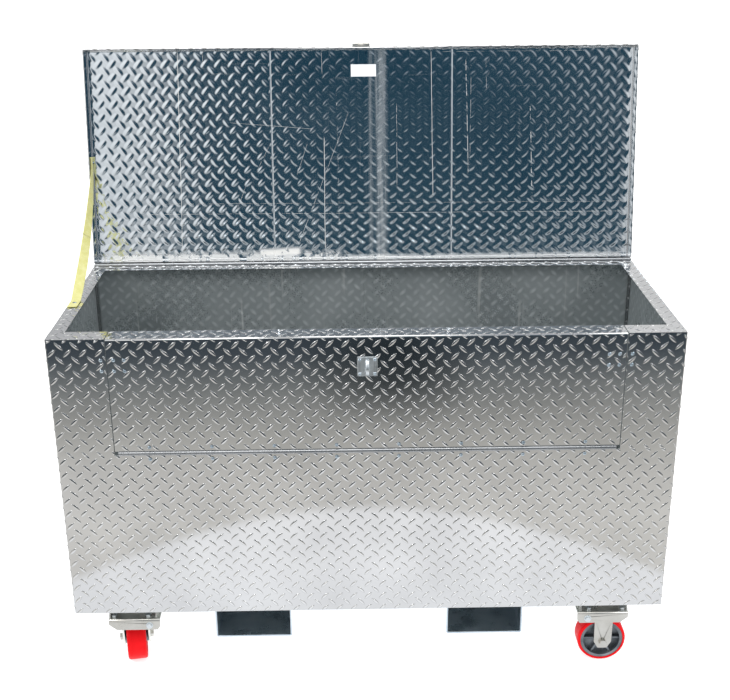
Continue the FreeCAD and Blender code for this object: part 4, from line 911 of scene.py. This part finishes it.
left_edge = span(nt, az, -0.074, -0.046, 0.0, 1.0)
right_edge = span(nt, az, 0.080, 0.14, 1.0, 0.0)
high = calc(nt, "MULTIPLY", span(nt, calc(nt, "ABSOLUTE", az), 0.12, 0.17, 1.0, 0.0), span(nt, elev, 0.36, 0.42, 0.0, 1.0))
mask = calc(nt, "MAXIMUM", calc(nt, "MULTIPLY", left_edge, right_edge), high)
nt.links.new(mix_color(nt, mask, sides, front), em.inputs["Color"])
bm = bmesh.new()
bmesh.ops.create_uvsphere(bm, u_segments=96, v_segments=48, radius=28.0)
me = bpy.data.meshes.new("card_room")
bm.to_mesh(me)
bm.free()
dome = bpy.data.objects.new("card_room", me)
scene.collection.objects.link(dome)
me.materials.append(dome_mat)
dome.location = (0, 0, 0.9)
dome.visible_camera = False
dome.visible_diffuse = False
dome.visible_shadow = False
dome.visible_transmission = False
dome.visible_volume_scatter = False

world = bpy.data.worlds.new("studio")
scene.world = world
world.use_nodes = True
wnt = world.node_tree
bg = next(n for n in wnt.nodes if n.type == "BACKGROUND")
bg.inputs["Color"].default_value = (1.0, 1.0, 1.0, 1.0)
bg.inputs["Strength"].default_value = 1.02


def area(name, loc, target, size, power, color=(1, 1, 1)):
    d = bpy.data.lights.new(name, "AREA")
    d.shape = "RECTANGLE"
    d.size, d.size_y = size
    d.energy = power
    d.color = color
    o = bpy.data.objects.new(name, d)
    scene.collection.objects.link(o)
    o.location = loc
    o.rotation_euler = (Vector(target) - Vector(loc)).to_track_quat("-Z", "Y").to_euler()
    return o


area("key", (-3.4, -2.1, 3.6), (0, 0, 0.6), (1.5, 1.3), 55)
area("fill", (3.4, -2.1, 3.4), (0, 0, 0.6), (1.5, 1.3), 42)
area("top", (0, -0.2, 4.2), (0, 0, 0.5), (3.0, 2.0), 45)

# ------------------------------------------------------------------ camera
F_PX = 1165.30
pos = Vector((-39.2, -2937.9, 1909.5)) * MM
pitch, yaw, roll = (math.radians(a) for a in (21.2051, -0.7557, -0.4544))
right0 = Vector((math.cos(yaw), math.sin(yaw), 0))
ahead = Vector((-math.sin(yaw), math.cos(yaw), 0))
forward = ahead * math.cos(pitch) - Vector((0, 0, 1)) * math.sin(pitch)
up0 = ahead * math.sin(pitch) + Vector((0, 0, 1)) * math.cos(pitch)
right = right0 * math.cos(roll) + up0 * math.sin(roll)
upv = up0 * math.cos(roll) - right0 * math.sin(roll)
cam_data = bpy.data.cameras.new("camera")
cam_data.sensor_fit = "HORIZONTAL"
cam_data.sensor_width = 36.0
cam_data.lens = F_PX / 730.0 * 36.0
cam_data.clip_end = 100.0
cam_data.dof.use_dof = False
cam = bpy.data.objects.new("camera", cam_data)
scene.collection.objects.link(cam)
cam.matrix_world = Matrix(((right.x, upv.x, -forward.x, pos.x), (right.y, upv.y, -forward.y, pos.y), (right.z, upv.z, -forward.z, pos.z), (0, 0, 0, 1)))
scene.camera = cam
scene.view_settings.view_transform = "Standard"
